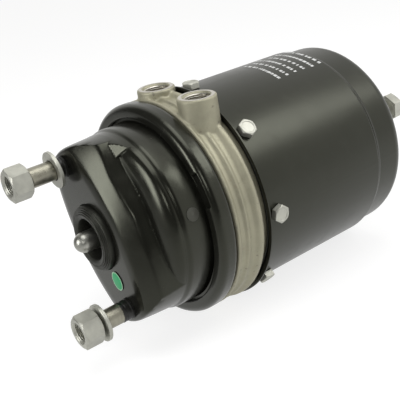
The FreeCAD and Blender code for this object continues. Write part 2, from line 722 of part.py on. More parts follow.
def make_clamp_ring():
    """Crimped sheet ring over both rims, with a notch in its front lip."""
    body = new_body("clamp_band")
    inner = "rim_radius + clamp_play"
    turned(body, "clamp_section", [
        ("clamp_lip_radius", "clamp_front_y"),
        (CLAMP_RADIUS, "clamp_front_y", "clamp_front_round"),
        (CLAMP_RADIUS, CLAMP_REAR, "clamp_corner"),
        ("neck_radius + touch_gap", CLAMP_REAR),
        ("neck_radius + touch_gap", ALLOY_RIM_REAR),
        (inner, ALLOY_RIM_REAR),
        (inner, RIM_FRONT),
        ("clamp_lip_radius", RIM_FRONT),
    ])
    notch = new_body("clamp_notch")
    sketch = new_sketch(notch, "notch_section", "XY_Plane")
    outline(sketch, [
        ("clamp_lip_radius - 1", "clamp_front_y - 1"),
        ("notch_radius", "clamp_front_y - 1"),
        ("notch_radius", RIM_FRONT),
        ("clamp_lip_radius - 1", RIM_FRONT),
    ])
    sweep = notch.newObject("PartDesign::Revolution", "notch_sweep")
    sweep.Profile = sketch
    sweep.ReferenceAxis = (sketch, ["V_Axis"])
    sweep.Angle = value("notch_sweep")
    sweep.Reversed = True
    notch.Placement.Rotation = Rotation(Vector(0, 1, 0), -value("notch_start"))
    return combined("Cut", "clamp_ring", body, notch)


def make_intermediate_flange():
    """Cast alloy flange: wall between the chambers, push tube hub and two port bosses."""
    body = new_body("flange_casting")
    bush_seat = "tube_radius + run_gap + bush_wall"
    groove = "tube_radius + run_gap + tube_seal_depth"
    bore = "tube_radius + touch_gap"
    channel = FLANGE_RADIUS + " - channel_depth"
    collar_rear = FLANGE_FRONT + " + collar_width"
    channel_rear = collar_rear + " + slope + channel_width"
    rib_rear = channel_rear + " + slope + rib_width"
    turned(body, "flange_turning", [
        ("dish_mouth_radius", BEAD_REAR),
        ("rim_radius + 1", BEAD_REAR),
        ("rim_radius + 1", ALLOY_RIM_REAR),
        ("neck_radius", ALLOY_RIM_REAR),
        ("neck_radius", FLANGE_FRONT),
        (FLANGE_RADIUS + " - collar_depth", FLANGE_FRONT, "flange_bevel"),
        (FLANGE_RADIUS + " - collar_depth", collar_rear, "slope_round"),
        (channel, collar_rear + " + slope", "slope_round"),
        (channel, channel_rear, "slope_round"),
        (FLANGE_RADIUS + " - rib_depth", channel_rear + " + slope", "slope_round"),
        (FLANGE_RADIUS + " - rib_depth", rib_rear, "slope_round"),
        (channel + " + slope / 2", rib_rear + " + slope", "slope_round"),
        (channel + " + slope / 2", "band_y - slope", "slope_round"),
        (FLANGE_RADIUS, "band_y + slope", "band_round"),
        (FLANGE_RADIUS, "flange_rear_y", "band_round"),
        (SPIGOT_RADIUS, "flange_rear_y"),
        (SPIGOT_RADIUS, "spigot_rear_y - spigot_bevel"),
        (SPIGOT_RADIUS + " - spigot_bevel", "spigot_rear_y"),
        ("rear_bore_radius", "spigot_rear_y"),
        ("rear_bore_radius", "dish_y + web_thickness", "flange_fillet"),
        ("hub_radius", "dish_y + web_thickness", "flange_fillet"),
        ("hub_radius", "hub_rear_y"),
        (bore, "hub_rear_y"),
        (bore, "tube_seal_rear_y + tube_seal_width"),
        (groove, "tube_seal_rear_y + tube_seal_width"),
        (groove, "tube_seal_rear_y"),
        (bore, "tube_seal_rear_y"),
        (bore, "bush_front_y + bush_length"),
        (bush_seat, "bush_front_y + bush_length"),
        (bush_seat, "bush_front_y"),
        (bore, "bush_front_y"),
        (bore, "tube_seal_front_y + tube_seal_width"),
        (groove, "tube_seal_front_y + tube_seal_width"),
        (groove, "tube_seal_front_y"),
        (bore, "tube_seal_front_y"),
        (bore, "foot_recess_rear_y"),
        ("foot_recess_radius", "foot_recess_rear_y"),
        ("foot_recess_radius", "dish_y"),
        ("dish_radius", "dish_y"),
    ])
    solids = [body]
    cuts = []
    ports = (("left", "port_left_x", "service_drilling_z"),
             ("right", "port_right_x", "spring_drilling_z"))
    for side, x, drilling_z in ports:
        boss = new_body("boss_" + side)
        turned(boss, "boss_turning_" + side, [
            ("0", "boss_foot_" + side + "_z"),
            ("boss_foot_radius", "boss_foot_" + side + "_z"),
            ("boss_radius", "port_top_z", "boss_round"),
            ("0", "port_top_z"),
        ])
        thread = new_body("port_" + side)
        turned(thread, "port_turning_" + side, [
            ("0", "drilling_floor_z"),
            ("drilling_radius", "drilling_floor_z"),
            ("drilling_radius", "port_top_z - port_depth - port_cone"),
            ("port_bore_radius", "port_top_z - port_depth"),
            ("port_bore_radius", "port_top_z - port_mouth_radius + port_bore_radius"),
            ("port_mouth_radius", "port_top_z"),
            ("port_mouth_radius", "port_top_z + 1"),
            ("0", "port_top_z + 1"),
        ])
        for piece in (boss, thread):
            piece.Placement.Rotation = Rotation(Vector(1, 0, 0), 90)
            piece.setExpression("Placement.Base.x", linked(x))
            piece.setExpression("Placement.Base.y", "sizes.port_y")
        solids.append(boss)
        cuts.append(thread)
        front = "dish_y - web_thickness" if side == "left" else "port_y"
        cuts.append(cylinder("drilling_" + side, "drilling_radius", "web_thickness * 2",
                             x=x, y=front, z=drilling_z))
    bolt_hole = new_body("spigot_bolt_holes")
    sketch = new_sketch(bolt_hole, "bolt_hole_outline", "XY_Plane")
    outline(sketch, [
        (SPIGOT_RADIUS + " - bolt_reach - 1", "bolt_y"),
        ("cylinder_bore_radius + 1", "bolt_y"),
        ("cylinder_bore_radius + 1", "bolt_y + bolt_radius + run_gap"),
        (SPIGOT_RADIUS + " - bolt_reach - 1", "bolt_y + bolt_radius + run_gap"),
    ])
    radial(bolt_hole, "bolt_hole", sketch)
    around(bolt_hole, "bolt_holes", [bolt_hole.Tip], "bolt_count")
    cuts.append(bolt_hole)
    cuts.append(ring("ring_groove", SPIGOT_RADIUS + " - ring_wire_radius * 2",
                     "cylinder_bore_radius + run_gap", "ring_groove_y",
                     "ring_groove_y + ring_groove_width"))
    casting = all_of("flange_solids", solids)
    drilled = combined("Cut", "intermediate_flange", casting, all_of("flange_cuts", cuts))
    return drilled


def radial(body, name, sketch):
    """Turning about the sketch's lowest line, whose axis stands out from the chamber."""
    feature = body.newObject("PartDesign::Revolution", name)
    feature.Profile = sketch
    feature.ReferenceAxis = (sketch, ["Edge1"])
    feature.Angle = 360
    body.Tip = feature
    return feature


def make_spring_cylinder():
    """Steel cylinder with a flared lip, notched for the bosses, and radial bolt holes."""
    body = new_body("cylinder_wall_body")
    turned(body, "cylinder_turning", [
        ("cylinder_bore_radius", "lip_y + lip_length"),
        (LIP_RADIUS + " - cylinder_wall", "lip_y + lip_width"),
        (LIP_RADIUS + " - cylinder_wall", "lip_y"),
        (LIP_RADIUS, "lip_y"),
        (LIP_RADIUS, "lip_y + lip_width"),
        (CYLINDER_RADIUS, "lip_y + lip_length"),
        (CYLINDER_RADIUS, "cylinder_rear_y", "cylinder_round"),
        ("cylinder_bore_radius", "cylinder_rear_y"),
    ])
    cuts = []
    for side, x in (("left", "port_left_x"), ("right", "port_right_x")):
        cuts.append(cylinder("lip_notch_" + side, "boss_foot_radius + touch_gap", "port_top_z",
                             x=x, y="port_y", z="0", turn=(1, 0, 0, 0)))
    bolt_holes = new_body("cylinder_bolt_holes")
    sketch = new_sketch(bolt_holes, "cylinder_hole_outline", "XY_Plane")
    outline(sketch, [
        ("cylinder_bore_radius - 3", "bolt_y"),
        ("cylinder_bore_radius + 6", "bolt_y"),
        ("cylinder_bore_radius + 6", "bolt_y + bolt_radius + bolt_gap"),
        ("cylinder_bore_radius - 3", "bolt_y + bolt_radius + bolt_gap"),
    ])
    radial(bolt_holes, "cylinder_hole", sketch)
    around(bolt_holes, "cylinder_holes", [bolt_holes.Tip], "bolt_count")
    cuts.append(bolt_holes)
    return combined("Cut", "spring_cylinder", body, all_of("cylinder_cuts", cuts))


def make_cylinder_bolts():
    """Hex bolts screwed radially through the cylinder into the flange's spigot."""
    body = new_body("cylinder_bolts")
    shank = new_sketch(body, "bolt_outline", "XY_Plane")
    outline(shank, [
        (SPIGOT_RADIUS + " - bolt_reach", "bolt_y"),
        (CYLINDER_RADIUS + " + bolt_head_height", "bolt_y"),
        (CYLINDER_RADIUS + " + bolt_head_height", "bolt_y + bolt_radius"),
        (SPIGOT_RADIUS + " - bolt_reach", "bolt_y + bolt_radius"),
    ])
    turning = radial(body, "bolt_shank", shank)
    head = new_sketch(body, "head_outline", "YZ_Plane", CYLINDER_RADIUS)
    hexagon_at(head, "bolt_head_flats", "bolt_y")
    pad = padded(body, "bolt_head", head, "bolt_head_height")
    around(body, "bolt_ring", [turning, pad], "bolt_count")
    return body


def hexagon_at(sketch, flats, x):
    """Hexagon by its size across flats, centred at x in the sketch."""
    radius = value(flats) / math.sqrt(3)
    centre = Vector(value(x), 0, 0)
    points = []
    for i in range(6):
        angle = math.radians(60 * i)
        points.append(centre + Vector(radius * math.cos(angle), radius * math.sin(angle), 0))
    ring_of = sketch.addGeometry(Part.Circle(centre, Vector(0, 0, 1), radius), True)
    for i in range(6):
        sketch.addGeometry(Part.LineSegment(points[i], points[(i + 1) % 6]))
    first = ring_of + 1
    for i in range(6):
        side, following = first + i, first + (i + 1) % 6
        sketch.addConstraint(Sketcher.Constraint("Coincident", side, 2, following, 1))
        sketch.addConstraint(Sketcher.Constraint("PointOnObject", side, 1, ring_of))
        if i:
            sketch.addConstraint(Sketcher.Constraint("Equal", first, side))
    across(sketch, "DistanceX", x, ring_of, 3)
    across(sketch, "DistanceY", "0", ring_of, 3)
    sketch.addConstraint(Sketcher.Constraint("Horizontal", first + 1))
    size = sketch.addConstraint(Sketcher.Constraint("Radius", ring_of, radius))
    sketch.setExpression(f"Constraints[{size}]", linked(flats) + " / sqrt(3)")


def make_rear_cap():
    """Deep-drawn cap pressed into the cylinder and welded round its edge."""
    body = new_body("rear_cap")
    turned(body, "cap_turning", [
        ("cap_radius - cap_wall", "cap_front_y"),
        ("cap_radius", "cap_front_y"),
        ("cap_radius", "cylinder_rear_y + run_gap"),
        ("cap_radius + bead_height", "cylinder_rear_y + run_gap", "bead_height / 2"),
        ("cap_radius", "cylinder_rear_y + bead_length", "bead_length"),
        ("cap_radius", "cap_rear_y", "cap_round"),
        ("release_nut_radius", "cap_rear_y"),
        ("release_nut_radius", "cap_rear_y - cap_wall"),
        ("cap_radius - cap_wall", "cap_rear_y - cap_wall", "cap_round - cap_wall"),
    ])
    return body


def make_release_nut():
    """Flanged nut through the cap that the release bolt screws through."""
    body = new_body("release_nut")
    bore = "release_radius + run_gap"
    inside = "cap_rear_y - cap_wall"
    turned(body, "release_nut_turning", [
        (bore, inside + " - release_nut_flange_thickness"),
        ("release_nut_flange", inside + " - release_nut_flange_thickness"),
        ("release_nut_flange", inside),
        ("release_nut_radius", inside),
        ("release_nut_radius", "cap_rear_y + release_nut_stand - nut_chamfer"),
        ("release_nut_radius - nut_chamfer", "cap_rear_y + release_nut_stand"),
        (bore, "cap_rear_y + release_nut_stand"),
    ])
    return body


def make_release_bolt():
    """Long bolt with a hex head behind the cap and a circlip groove at its inner end."""
    shank = new_body("release_shank")
    groove_front = RELEASE_FRONT + " + release_end"
    head_front = "release_head_rear_y - release_head_height"
    turned(shank, "release_turning", [
        ("0", RELEASE_FRONT),
        ("release_radius - stud_chamfer", RELEASE_FRONT),
        ("release_radius", RELEASE_FRONT + " + stud_chamfer"),
        ("release_radius", groove_front),
        ("clip_groove_radius", groove_front),
        ("clip_groove_radius", groove_front + " + clip_thickness"),
        ("release_radius", groove_front + " + clip_thickness"),
        ("release_radius", head_front),
        ("nut_flats / 2 - nut_chamfer", head_front),
        ("nut_flats / 2 - nut_chamfer", head_front + " + nut_chamfer"),
        ("0", head_front + " + nut_chamfer"),
    ])
    prism = hex_prism("release_prism", "nut_flats", "release_head_height - nut_chamfer")
    prism.setExpression("Placement.Base.y", linked(head_front + " + nut_chamfer"))
    envelope = new_body("release_head_chamfers")
    turned(envelope, "release_head_turning", [
        ("0", head_front + " + nut_chamfer"),
        (NUT_CORNER, head_front + " + nut_chamfer"),
        (NUT_CORNER, "release_head_rear_y - nut_chamfer"),
        ("nut_flats / 2", "release_head_rear_y"),
        ("0", "release_head_rear_y"),
    ])
    head = combined("Common", "release_head", prism, envelope)
    return combined("Fuse", "release_bolt", shank, head)


def make_diaphragm():
    """Cupped rubber diaphragm, clamped by its bead and lying back on the flange."""
    body = new_body("service_diaphragm")
    rear = PLATE_REAR + " + touch_gap + diaphragm_thickness"
    turned(body, "diaphragm_turning", [
        ("0", PLATE_REAR + " + touch_gap"),
        ("dish_radius - diaphragm_inset", PLATE_REAR + " + touch_gap", "diaphragm_round"),
        ("dish_mouth_radius - diaphragm_inset", RIM_REAR, "diaphragm_round"),
        ("rim_radius", RIM_REAR),
        ("rim_radius", BEAD_REAR),
        ("dish_mouth_radius - dish_gap", BEAD_REAR),
        ("dish_radius - dish_gap", rear, "diaphragm_round + 1"),
        ("0", rear),
    ])
    return body


def make_rod_seal():
    """Rubber face seal with the bellows that grip the push rod behind it."""
    body = new_body("rod_seal")
    neck = "seal_hole_radius - touch_gap * 3"
    sleeve_front = "bellows_rear_y - seal_grip_length / 2"
    sleeve_rear = "bellows_rear_y + seal_grip_length / 2"
    folds = 2 * int(value("bellows_pleats"))
    outside, inside = [], []
    for i in range(folds):
        y = f"bellows_rear_y * {i + 1} / {folds + 1}"
        radius = "seal_opening_radius" if i % 2 else "bellows_inner_radius"
        if value(y) > value(RETAINER_FRONT) + value("bellows_wall"):
            outside.append((radius + " + bellows_wall", y))
            if value(y) < value(sleeve_front) - value("bellows_wall"):
                inside.append((radius, y))
    turned(body, "rod_seal_turning", [
        ("seal_opening_radius", "seal_front_y + seal_lip"),
        ("seal_opening_radius + seal_lip", "seal_front_y"),
        ("seal_front_radius", "seal_front_y", "seal_round"),
        ("seal_radius", "-seal_lip"),
        ("seal_radius", "-touch_gap"),
        (neck, "-touch_gap"),
        (neck, "sheet_wall"),
        ("seal_flange_radius", "sheet_wall"),
        ("seal_flange_radius", RETAINER_FRONT),
        ("seal_opening_radius + bellows_wall", RETAINER_FRONT),
        *outside,
        ("rod_radius + seal_grip_wall", sleeve_front),
        ("rod_radius + seal_grip_wall", sleeve_rear),
        ("rod_radius + run_gap", sleeve_rear),
        ("rod_radius + run_gap", sleeve_front + " - bellows_wall / 2"),
        *reversed(inside),
        ("seal_opening_radius", RETAINER_FRONT),
    ])
    return body


def make_push_rod():
    """Push rod with a round tip, riveted through the push plate."""
    body = new_body("push_rod_turned")
    turned(body, "rod_turning", [
        ("0", "rod_tip_y + rod_radius"),
        ("rod_radius", "rod_tip_y + rod_radius"),
        ("rod_radius", "plate_front_y"),
        ("rivet_radius", "plate_front_y"),
        ("rivet_radius", PLATE_REAR),
        ("0", PLATE_REAR),
    ])
    tip = doc.addObject("Part::Sphere", "rod_tip")
    bind(tip, Radius="rod_radius")
    tip.setExpression("Placement.Base.y", linked("rod_tip_y + rod_radius"))
    return combined("Fuse", "push_rod", body, tip)


def make_push_plate():
    """Pressed plate with a turned-up rim."""
    body = new_body("push_plate")
    turned(body, "plate_turning", [
        ("rivet_radius", "plate_front_y"),
        ("plate_radius - plate_thickness", "plate_front_y", "plate_round"),
        ("plate_radius - plate_thickness", "plate_front_y - plate_rim_height"),
        ("plate_radius", "plate_front_y - plate_rim_height"),
        ("plate_radius", PLATE_REAR, "plate_round + plate_thickness"),
        ("rivet_radius", PLATE_REAR),
    ])
    return body


def coil(name, wire, front_radius, rear_radius, front_y, rear_y, turns):
    """Compression spring of polygonal wire between two places along the axis."""
    helix = doc.addObject("Part::Helix", name + "_line")
    length = f"{rear_y} {signed(negated(front_y))} - {wire}"
    helix.setExpression("Height", linked(length))
    helix.setExpression("Pitch", f"({linked(length)}) / ({linked(turns)})")
    bind(helix, Radius=front_radius)
    slope = math.atan2(value(rear_radius) - value(front_radius), value(length))
    helix.Angle = math.degrees(slope)
    section = doc.addObject("Part::RegularPolygon", name + "_wire")
    section.setExpression("Circumradius", linked(wire) + " / 2")
    bind(section, Polygon="wire_sides")
    section.Placement.Rotation = Rotation(Vector(1, 0, 0), 90)
    section.setExpression("Placement.Base.x", linked(front_radius))
    sweep = doc.addObject("Part::Sweep", name)
    sweep.Sections = [section]
    sweep.Spine = (helix, ["Edge1"])
    sweep.Solid = True
    sweep.Frenet = True
    place = Placement(Vector(0, value(front_y) + value(wire) / 2, 0), Rotation(Vector(1, 0, 0), -90))
    sweep.Placement = place
    sweep.setExpression("Placement.Base.y", f"{linked(front_y)} + {linked(wire)} / 2")
    return sweep


def make_spring_piston():
    """Piston with a skirt towards the power spring and a hub round the push tube."""
    body = new_body("spring_piston")
    outer = PISTON_RADIUS
    web_rear = "piston_front_y + piston_web"
    turned(body, "piston_turning", [
        ("tube_radius", "piston_front_y"),
        (outer, "piston_front_y", "piston_round"),
        (outer, "seal_groove_y"),
        (outer + " - groove_depth", "seal_groove_y"),
        (outer + " - groove_depth", "seal_groove_y + seal_groove_width"),
        (outer, "seal_groove_y + seal_groove_width"),
        (outer, "guide_groove_y"),
        (outer + " - groove_depth", "guide_groove_y"),
        (outer + " - groove_depth", "guide_groove_y + guide_groove_width"),
        (outer, "guide_groove_y + guide_groove_width"),
        (outer, "piston_rear_y"),
        (outer + " - skirt_wall", "piston_rear_y"),
        (outer + " - skirt_wall", web_rear, "piston_fillet"),
        ("piston_hub_radius", web_rear, "piston_fillet"),
        ("piston_hub_radius", "piston_hub_rear_y"),
        ("shank_hole_radius", "piston_hub_rear_y"),
        ("shank_hole_radius", "tube_rear_y"),
        ("tube_radius", "tube_rear_y"),
    ])
    return body


def make_push_foot():
    """Foot in the front end of the push tube, which bears on the diaphragm."""
    body = new_body("push_foot")
    front = PLATE_REAR + " + touch_gap * 2 + diaphragm_thickness"
    seat = front + " + foot_thickness"
    turned(body, "foot_turning", [
        ("0", front),
        ("foot_radius", front, "piston_round"),
        ("foot_radius", seat),
        ("tube_bore_radius", seat),
        ("tube_bore_radius", seat + " + foot_plug_length"),
        ("0", seat + " + foot_plug_length"),
    ])
    tube = ring("push_tube", "tube_bore_radius", "tube_radius", seat, "tube_rear_y")
    return body, tube


def make_rings():
    """Plain rings: the seal's retainer, the bush and seals of the tube and of the piston."""
    ring("seal_retainer", "retainer_bore_radius", "seal_flange_radius", RETAINER_FRONT,
         RETAINER_FRONT + " + retainer_thickness")
    ring("tube_guide_bush", TUBE_RUN, TUBE_RUN + " + bush_wall", "bush_front_y",
         "bush_front_y + bush_length")
    seals = [
        ring("tube_seal_" + side, TUBE_RUN, TUBE_RUN + " + tube_seal_depth", start,
             start + " + tube_seal_width")
        for side, start in (("front", "tube_seal_front_y"), ("rear", "tube_seal_rear_y"))
    ]
    group("tube_seals", seals)
    ring("piston_seal", PISTON_RADIUS + " - groove_depth", BORE_RUN, "seal_groove_y",
         "seal_groove_y + seal_groove_width")
    ring("piston_guide_ring", PISTON_RADIUS + " - groove_depth", BORE_RUN, "guide_groove_y",
         "guide_groove_y + guide_groove_width")
    thrust_front = "tube_rear_y - thrust_thickness"
    ring("thrust_washer", "release_radius", "thrust_radius", thrust_front, "tube_rear_y")
    ring("bolt_circlip", "clip_groove_radius", "clip_radius", thrust_front + " - clip_thickness",
         thrust_front)


def make_o_ring():
    """O-ring between the flange's spigot and the cylinder."""
    feature = doc.addObject("Part::Torus", "cylinder_o_ring")
    bind(feature, Radius1=SPIGOT_RADIUS + " - ring_wire_radius",
         Radius2="ring_wire_radius - run_gap")
    feature.Placement.Rotation = Rotation(Vector(1, 0, 0), 90)
    feature.setExpression("Placement.Base.y", linked("ring_groove_y + ring_groove_width / 2"))


def make_springs():
    """Return spring of the push rod and power spring of the piston."""
    coil("return_spring", "return_wire", "return_front_radius", "return_rear_radius",
         RETAINER_FRONT + " + retainer_thickness", "plate_front_y", "return_turns")
    coil("power_spring", "power_wire", "power_radius", "power_radius",
         "piston_front_y + piston_web", "cap_rear_y - cap_wall", "power_turns")


make_service_housing()
make_studs()
make_stud_nuts()
make_stud_washers()
make_vent_plugs()
make_clamp_ring()
make_intermediate_flange()
make_spring_cylinder()
make_cylinder_bolts()
make_rear_cap()
make_release_nut()
make_release_bolt()
make_diaphragm()
make_rod_seal()
make_push_rod()
make_push_plate()
make_spring_piston()
make_push_foot()
make_rings()
make_o_ring()
make_springs()

NODES = [
    "service_housing", "mounting_studs", "stud_nuts", "stud_washers", "vent_plugs", "clamp_ring",
    "intermediate_flange", "spring_cylinder", "cylinder_bolts", "rear_cap", "release_nut",
    "release_bolt", "thrust_washer", "bolt_circlip", "service_diaphragm", "rod_seal",
    "seal_retainer", "push_rod", "push_plate", "return_spring", "spring_piston", "piston_seal",
    "piston_guide_ring", "push_tube", "push_foot", "tube_guide_bush", "tube_seals",
    "cylinder_o_ring", "power_spring",
]

doc.recompute()
failed = [o.Name for o in doc.Objects if {"Invalid", "Error"} & set(o.State)]
if failed:
    raise RuntimeError("these did not build: " + ", ".join(failed))
os.makedirs("parts", exist_ok=True)
for node in NODES:
    shape = doc.getObjectsByLabel(node)[0].Shape
    if shape.isNull() or not shape.isValid():
        raise RuntimeError(node + " has no valid shape")
    shape.exportStep(f"parts/{node}.step")
    print(f"{node}: {len(shape.Solids)} solids, {shape.Volume / 1000:.1f} cm3")
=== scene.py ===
import math
import random

import bmesh
import bpy
import numpy as np
from bpy.props import FloatProperty, FloatVectorProperty, IntProperty, PointerProperty
from mathutils import Matrix, Vector


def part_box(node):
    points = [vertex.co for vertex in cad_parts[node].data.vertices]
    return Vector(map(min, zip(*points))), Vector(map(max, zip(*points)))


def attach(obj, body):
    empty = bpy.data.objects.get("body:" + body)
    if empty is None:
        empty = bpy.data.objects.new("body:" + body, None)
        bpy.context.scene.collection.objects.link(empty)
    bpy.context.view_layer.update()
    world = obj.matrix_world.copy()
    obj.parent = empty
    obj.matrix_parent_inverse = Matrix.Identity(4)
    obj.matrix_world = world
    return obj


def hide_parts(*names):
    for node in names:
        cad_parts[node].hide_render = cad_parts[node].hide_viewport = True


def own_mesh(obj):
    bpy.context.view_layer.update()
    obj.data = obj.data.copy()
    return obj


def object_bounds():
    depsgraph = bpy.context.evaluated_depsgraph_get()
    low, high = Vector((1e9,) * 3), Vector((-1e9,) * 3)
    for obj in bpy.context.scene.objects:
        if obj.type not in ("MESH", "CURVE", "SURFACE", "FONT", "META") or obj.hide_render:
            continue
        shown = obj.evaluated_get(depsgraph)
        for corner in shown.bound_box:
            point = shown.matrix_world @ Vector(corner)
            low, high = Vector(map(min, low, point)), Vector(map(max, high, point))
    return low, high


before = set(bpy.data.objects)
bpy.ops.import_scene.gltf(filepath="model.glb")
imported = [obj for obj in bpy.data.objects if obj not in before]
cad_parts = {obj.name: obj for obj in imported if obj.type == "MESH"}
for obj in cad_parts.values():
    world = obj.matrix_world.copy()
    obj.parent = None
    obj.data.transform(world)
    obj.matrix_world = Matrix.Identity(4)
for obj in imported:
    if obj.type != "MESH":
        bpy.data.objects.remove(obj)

bl_info = {
    "name": "Air Brake Chamber",
    "version": (1, 0, 0),
    "blender": (4, 5, 0),
    "location": "View3D > Sidebar > Chamber",
    "description": "Dresses the parts of a combined brake chamber and sets its stage",
    "category": "Object",
}

MM = 0.001
TAU = 2 * math.pi
CAD_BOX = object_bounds()

# Places that the parts share, in millimetres on the chamber's own axes.
STUD_SPACING = 120.65
BOLT_RING_Y = 111.2
BOLT_SEAT_RADIUS = 87.4
PORTS = ((-12.5, 86.0), (41.0, 86.0))
PORT_TOP = 94.0

# Angle between the line through both studs and the vertical.
STUD_TURN = math.radians(28.94)

# Radius that stands for the axis in an outline that is turned.
AXIS = 0.01

# The drawn housing's pad, bowl, facets, sheet and openings, in millimetres.
PAD_HALF_WIDTH = 36.6
PAD_SIDE_CURVE = 266
PAD_END_RADIUS = 72.6
BOWL_DEPTH = 20.8
BOWL_FLAT_RADIUS = 52
FACET_START = 44.6
SHEET = 3.5
ROD_HOLE_RADIUS = 27.5
INNER_RADIUS = 72.5

# Direction across its stud in which a tilted washer leans.
WASHER_LEAN = (0.35, 0.94)

# Rows of printed bars: place of the first one along Y, spacing and half height in millimetres,
# and the angles in degrees between which they run.
PRINT_START = 177.0
PRINT_SPACING = 9.6
PRINT_HALF_HEIGHT = 1.4
PRINT_FROM = 67.5
PRINT_TO = 102.0

# Reach of the floor to each side and its gap below the object, in millimetres.
FLOOR_REACH = 4000.0
FLOOR_GAP = 0.3

# Direction in which a mirror sees the room dark.
DARK_SIDE = (0.2, -0.97, 0.15)

# The camera's place in metres and its three axes.
CAMERA_PLACE = (0.4776, -0.2231, 0.2374)
CAMERA_RIGHT = (0.607705, 0.779857, -0.149870)
CAMERA_UP = (-0.226959, 0.351409, 0.908239)
CAMERA_BACK = (0.761006, -0.517956, 0.390570)


# Shader maths

class Signal:
    """An output in a node tree that takes part in plain arithmetic."""

    def __init__(self, nodes, socket):
        self.nodes = nodes
        self.socket = socket

    def maths(self, operation, first, second):
        """Result of one operation on two signals or numbers."""
        return self.nodes.add("ShaderNodeMath", {"operation": operation}, {0: first, 1: second})

    def __add__(self, other):
        return self.maths("ADD", self, other)

    __radd__ = __add__

    def __sub__(self, other):
        return self.maths("SUBTRACT", self, other)

    def __rsub__(self, other):
        return self.maths("SUBTRACT", other, self)

    def __mul__(self, other):
        return self.maths("MULTIPLY", self, other)

    __rmul__ = __mul__


class Nodes:
    """Tools that fill an empty node tree."""

    def __init__(self, tree):
        self.tree = tree
        tree.nodes.clear()

    def add(self, kind, settings=None, inputs=None, output=0):
        """Adds a node, sets it up, fills its sockets and returns one output if it has any."""
        node = self.tree.nodes.new(kind)
        for key, given in (settings or {}).items():
            setattr(node, key, given)
        for key, given in (inputs or {}).items():
            self.feed(node, key, given)
        return Signal(self, node.outputs[output]) if node.outputs else None

    def feed(self, node, key, given):
        """Puts a value or a link on one socket."""
        socket = node.inputs[key]
        if isinstance(given, Signal):
            self.tree.links.new(given.socket, socket)
        elif socket.type == "RGBA" and len(given) == 3:
            socket.default_value = (*given, 1.0)
        else:
            socket.default_value = given

    def window(self, signal, low, high):
        """0 below low, 1 above high and even between them."""
        return self.add("ShaderNodeMapRange", inputs={
            "Value": signal, "From Min": low, "From Max": high})

    def rays(self):
        """1 on rays of the camera, on mirrored rays and on those through glass, else 0."""
        return [self.add("ShaderNodeLightPath", output=name)
                for name in ("Is Camera Ray", "Is Glossy Ray", "Is Transmission Ray")]


class Finish(Nodes):
    """A procedural material under construction."""

    def __init__(self, name, **shader):
        self.material = bpy.data.materials.new(name)
        self.material.use_nodes = True
        super().__init__(self.material.node_tree)
        named = {key.replace("_", " "): given for key, given in shader.items()}
        shaded = self.add("ShaderNodeBsdfPrincipled", inputs=named)
        self.surface = shaded.socket.node
        self.add("ShaderNodeOutputMaterial", inputs={"Surface": shaded})
        self.coords = self.add("ShaderNodeTexCoord", output="Object")

    def set(self, **sockets):
        """Feeds sockets of the surface shader, with _ for a space in their names."""
        for key, given in sockets.items():
            self.feed(self.surface, key.replace("_", " "), given)

    def noise(self, scale, detail=3.0, roughness=0.5, vector=None):
        """Even noise with the given number of features per metre."""
        return self.add("ShaderNodeTexNoise", inputs={
            "Vector": vector or self.coords, "Scale": scale, "Detail": detail,
            "Roughness": roughness})

    def stretched(self, x, y, z):
        """Coordinates scaled along each axis."""
        return self.add("ShaderNodeVectorMath", {"operation": "MULTIPLY"},
                        {0: self.coords, 1: (x, y, z)})

    def along(self, axis):
        """Position along one axis, in metres."""
        return self.add("ShaderNodeSeparateXYZ", inputs={0: self.coords}, output=axis)

    def mix(self, factor, first, second):
        """Colour between two others."""
        return self.add("ShaderNodeMix", {"data_type": "RGBA"},
                        {0: factor, 6: first, 7: second}, output=2)

    def bump(self, height, distance, strength=1.0, below=None):
        """Normal raised by a height signal, over another one if that is given."""
        inputs = {"Height": height, "Distance": distance, "Strength": strength}
        if below:
            inputs["Normal"] = below
        return self.add("ShaderNodeBump", inputs=inputs)


def enamel(name, colour, gloss):
    """Black paint on pressed steel: fine orange peel, faint dust and slow sheet waves."""
    paint = Finish(name, Specular_Tint=(0.97, 1.0, 0.8, 1.0))
    dust = paint.window(paint.noise(95.0, 6.0, 0.62), 0.5, 0.8)
    grime = paint.window(paint.noise(22.0, 4.0), 0.42, 0.7)
    dusty = tuple(c * 1.7 + 0.008 for c in colour)
    paint.set(Base_Color=paint.mix(dust * 0.4 + grime * 0.25, colour, dusty),
              Roughness=gloss + dust * 0.07 + grime * 0.04)
    waves = paint.bump(paint.noise(13.0, 2.0), 0.0009, 0.3)
    paint.set(Normal=paint.bump(paint.noise(560.0, 2.0), 0.00003, 0.22, waves))
    return paint.material


def casting(name, colour):
    """Blasted cast alloy: fine grain, soft mottling, a few pits and brown specks."""
    alloy = Finish(name, Metallic=0.55)
    grain = alloy.noise(1150.0, 4.0, 0.65)
    mottle = alloy.window(alloy.noise(70.0, 5.0, 0.6), 0.34, 0.68)
    pits = alloy.window(alloy.noise(310.0, 2.0, 0.4), 0.68, 0.76)
    stains = alloy.window(alloy.noise(48.0, 6.0, 0.72), 0.6, 0.74)
    darker = tuple(c * 0.74 for c in colour)
    base = alloy.mix(mottle * 0.7 + grain * 0.25, darker, colour)
    base = alloy.mix(stains * 0.45, base, (0.27, 0.205, 0.14))
    base = alloy.mix(pits * 0.55, base, (0.16, 0.145, 0.125))
    alloy.set(Base_Color=base, Roughness=0.46 + mottle * 0.1 - stains * 0.05)
    skin = alloy.bump(alloy.noise(60.0, 3.0), 0.0006, 0.25)
    alloy.set(Normal=alloy.bump(grain - pits * 0.8, 0.00012, 0.6, skin))
    return alloy.material


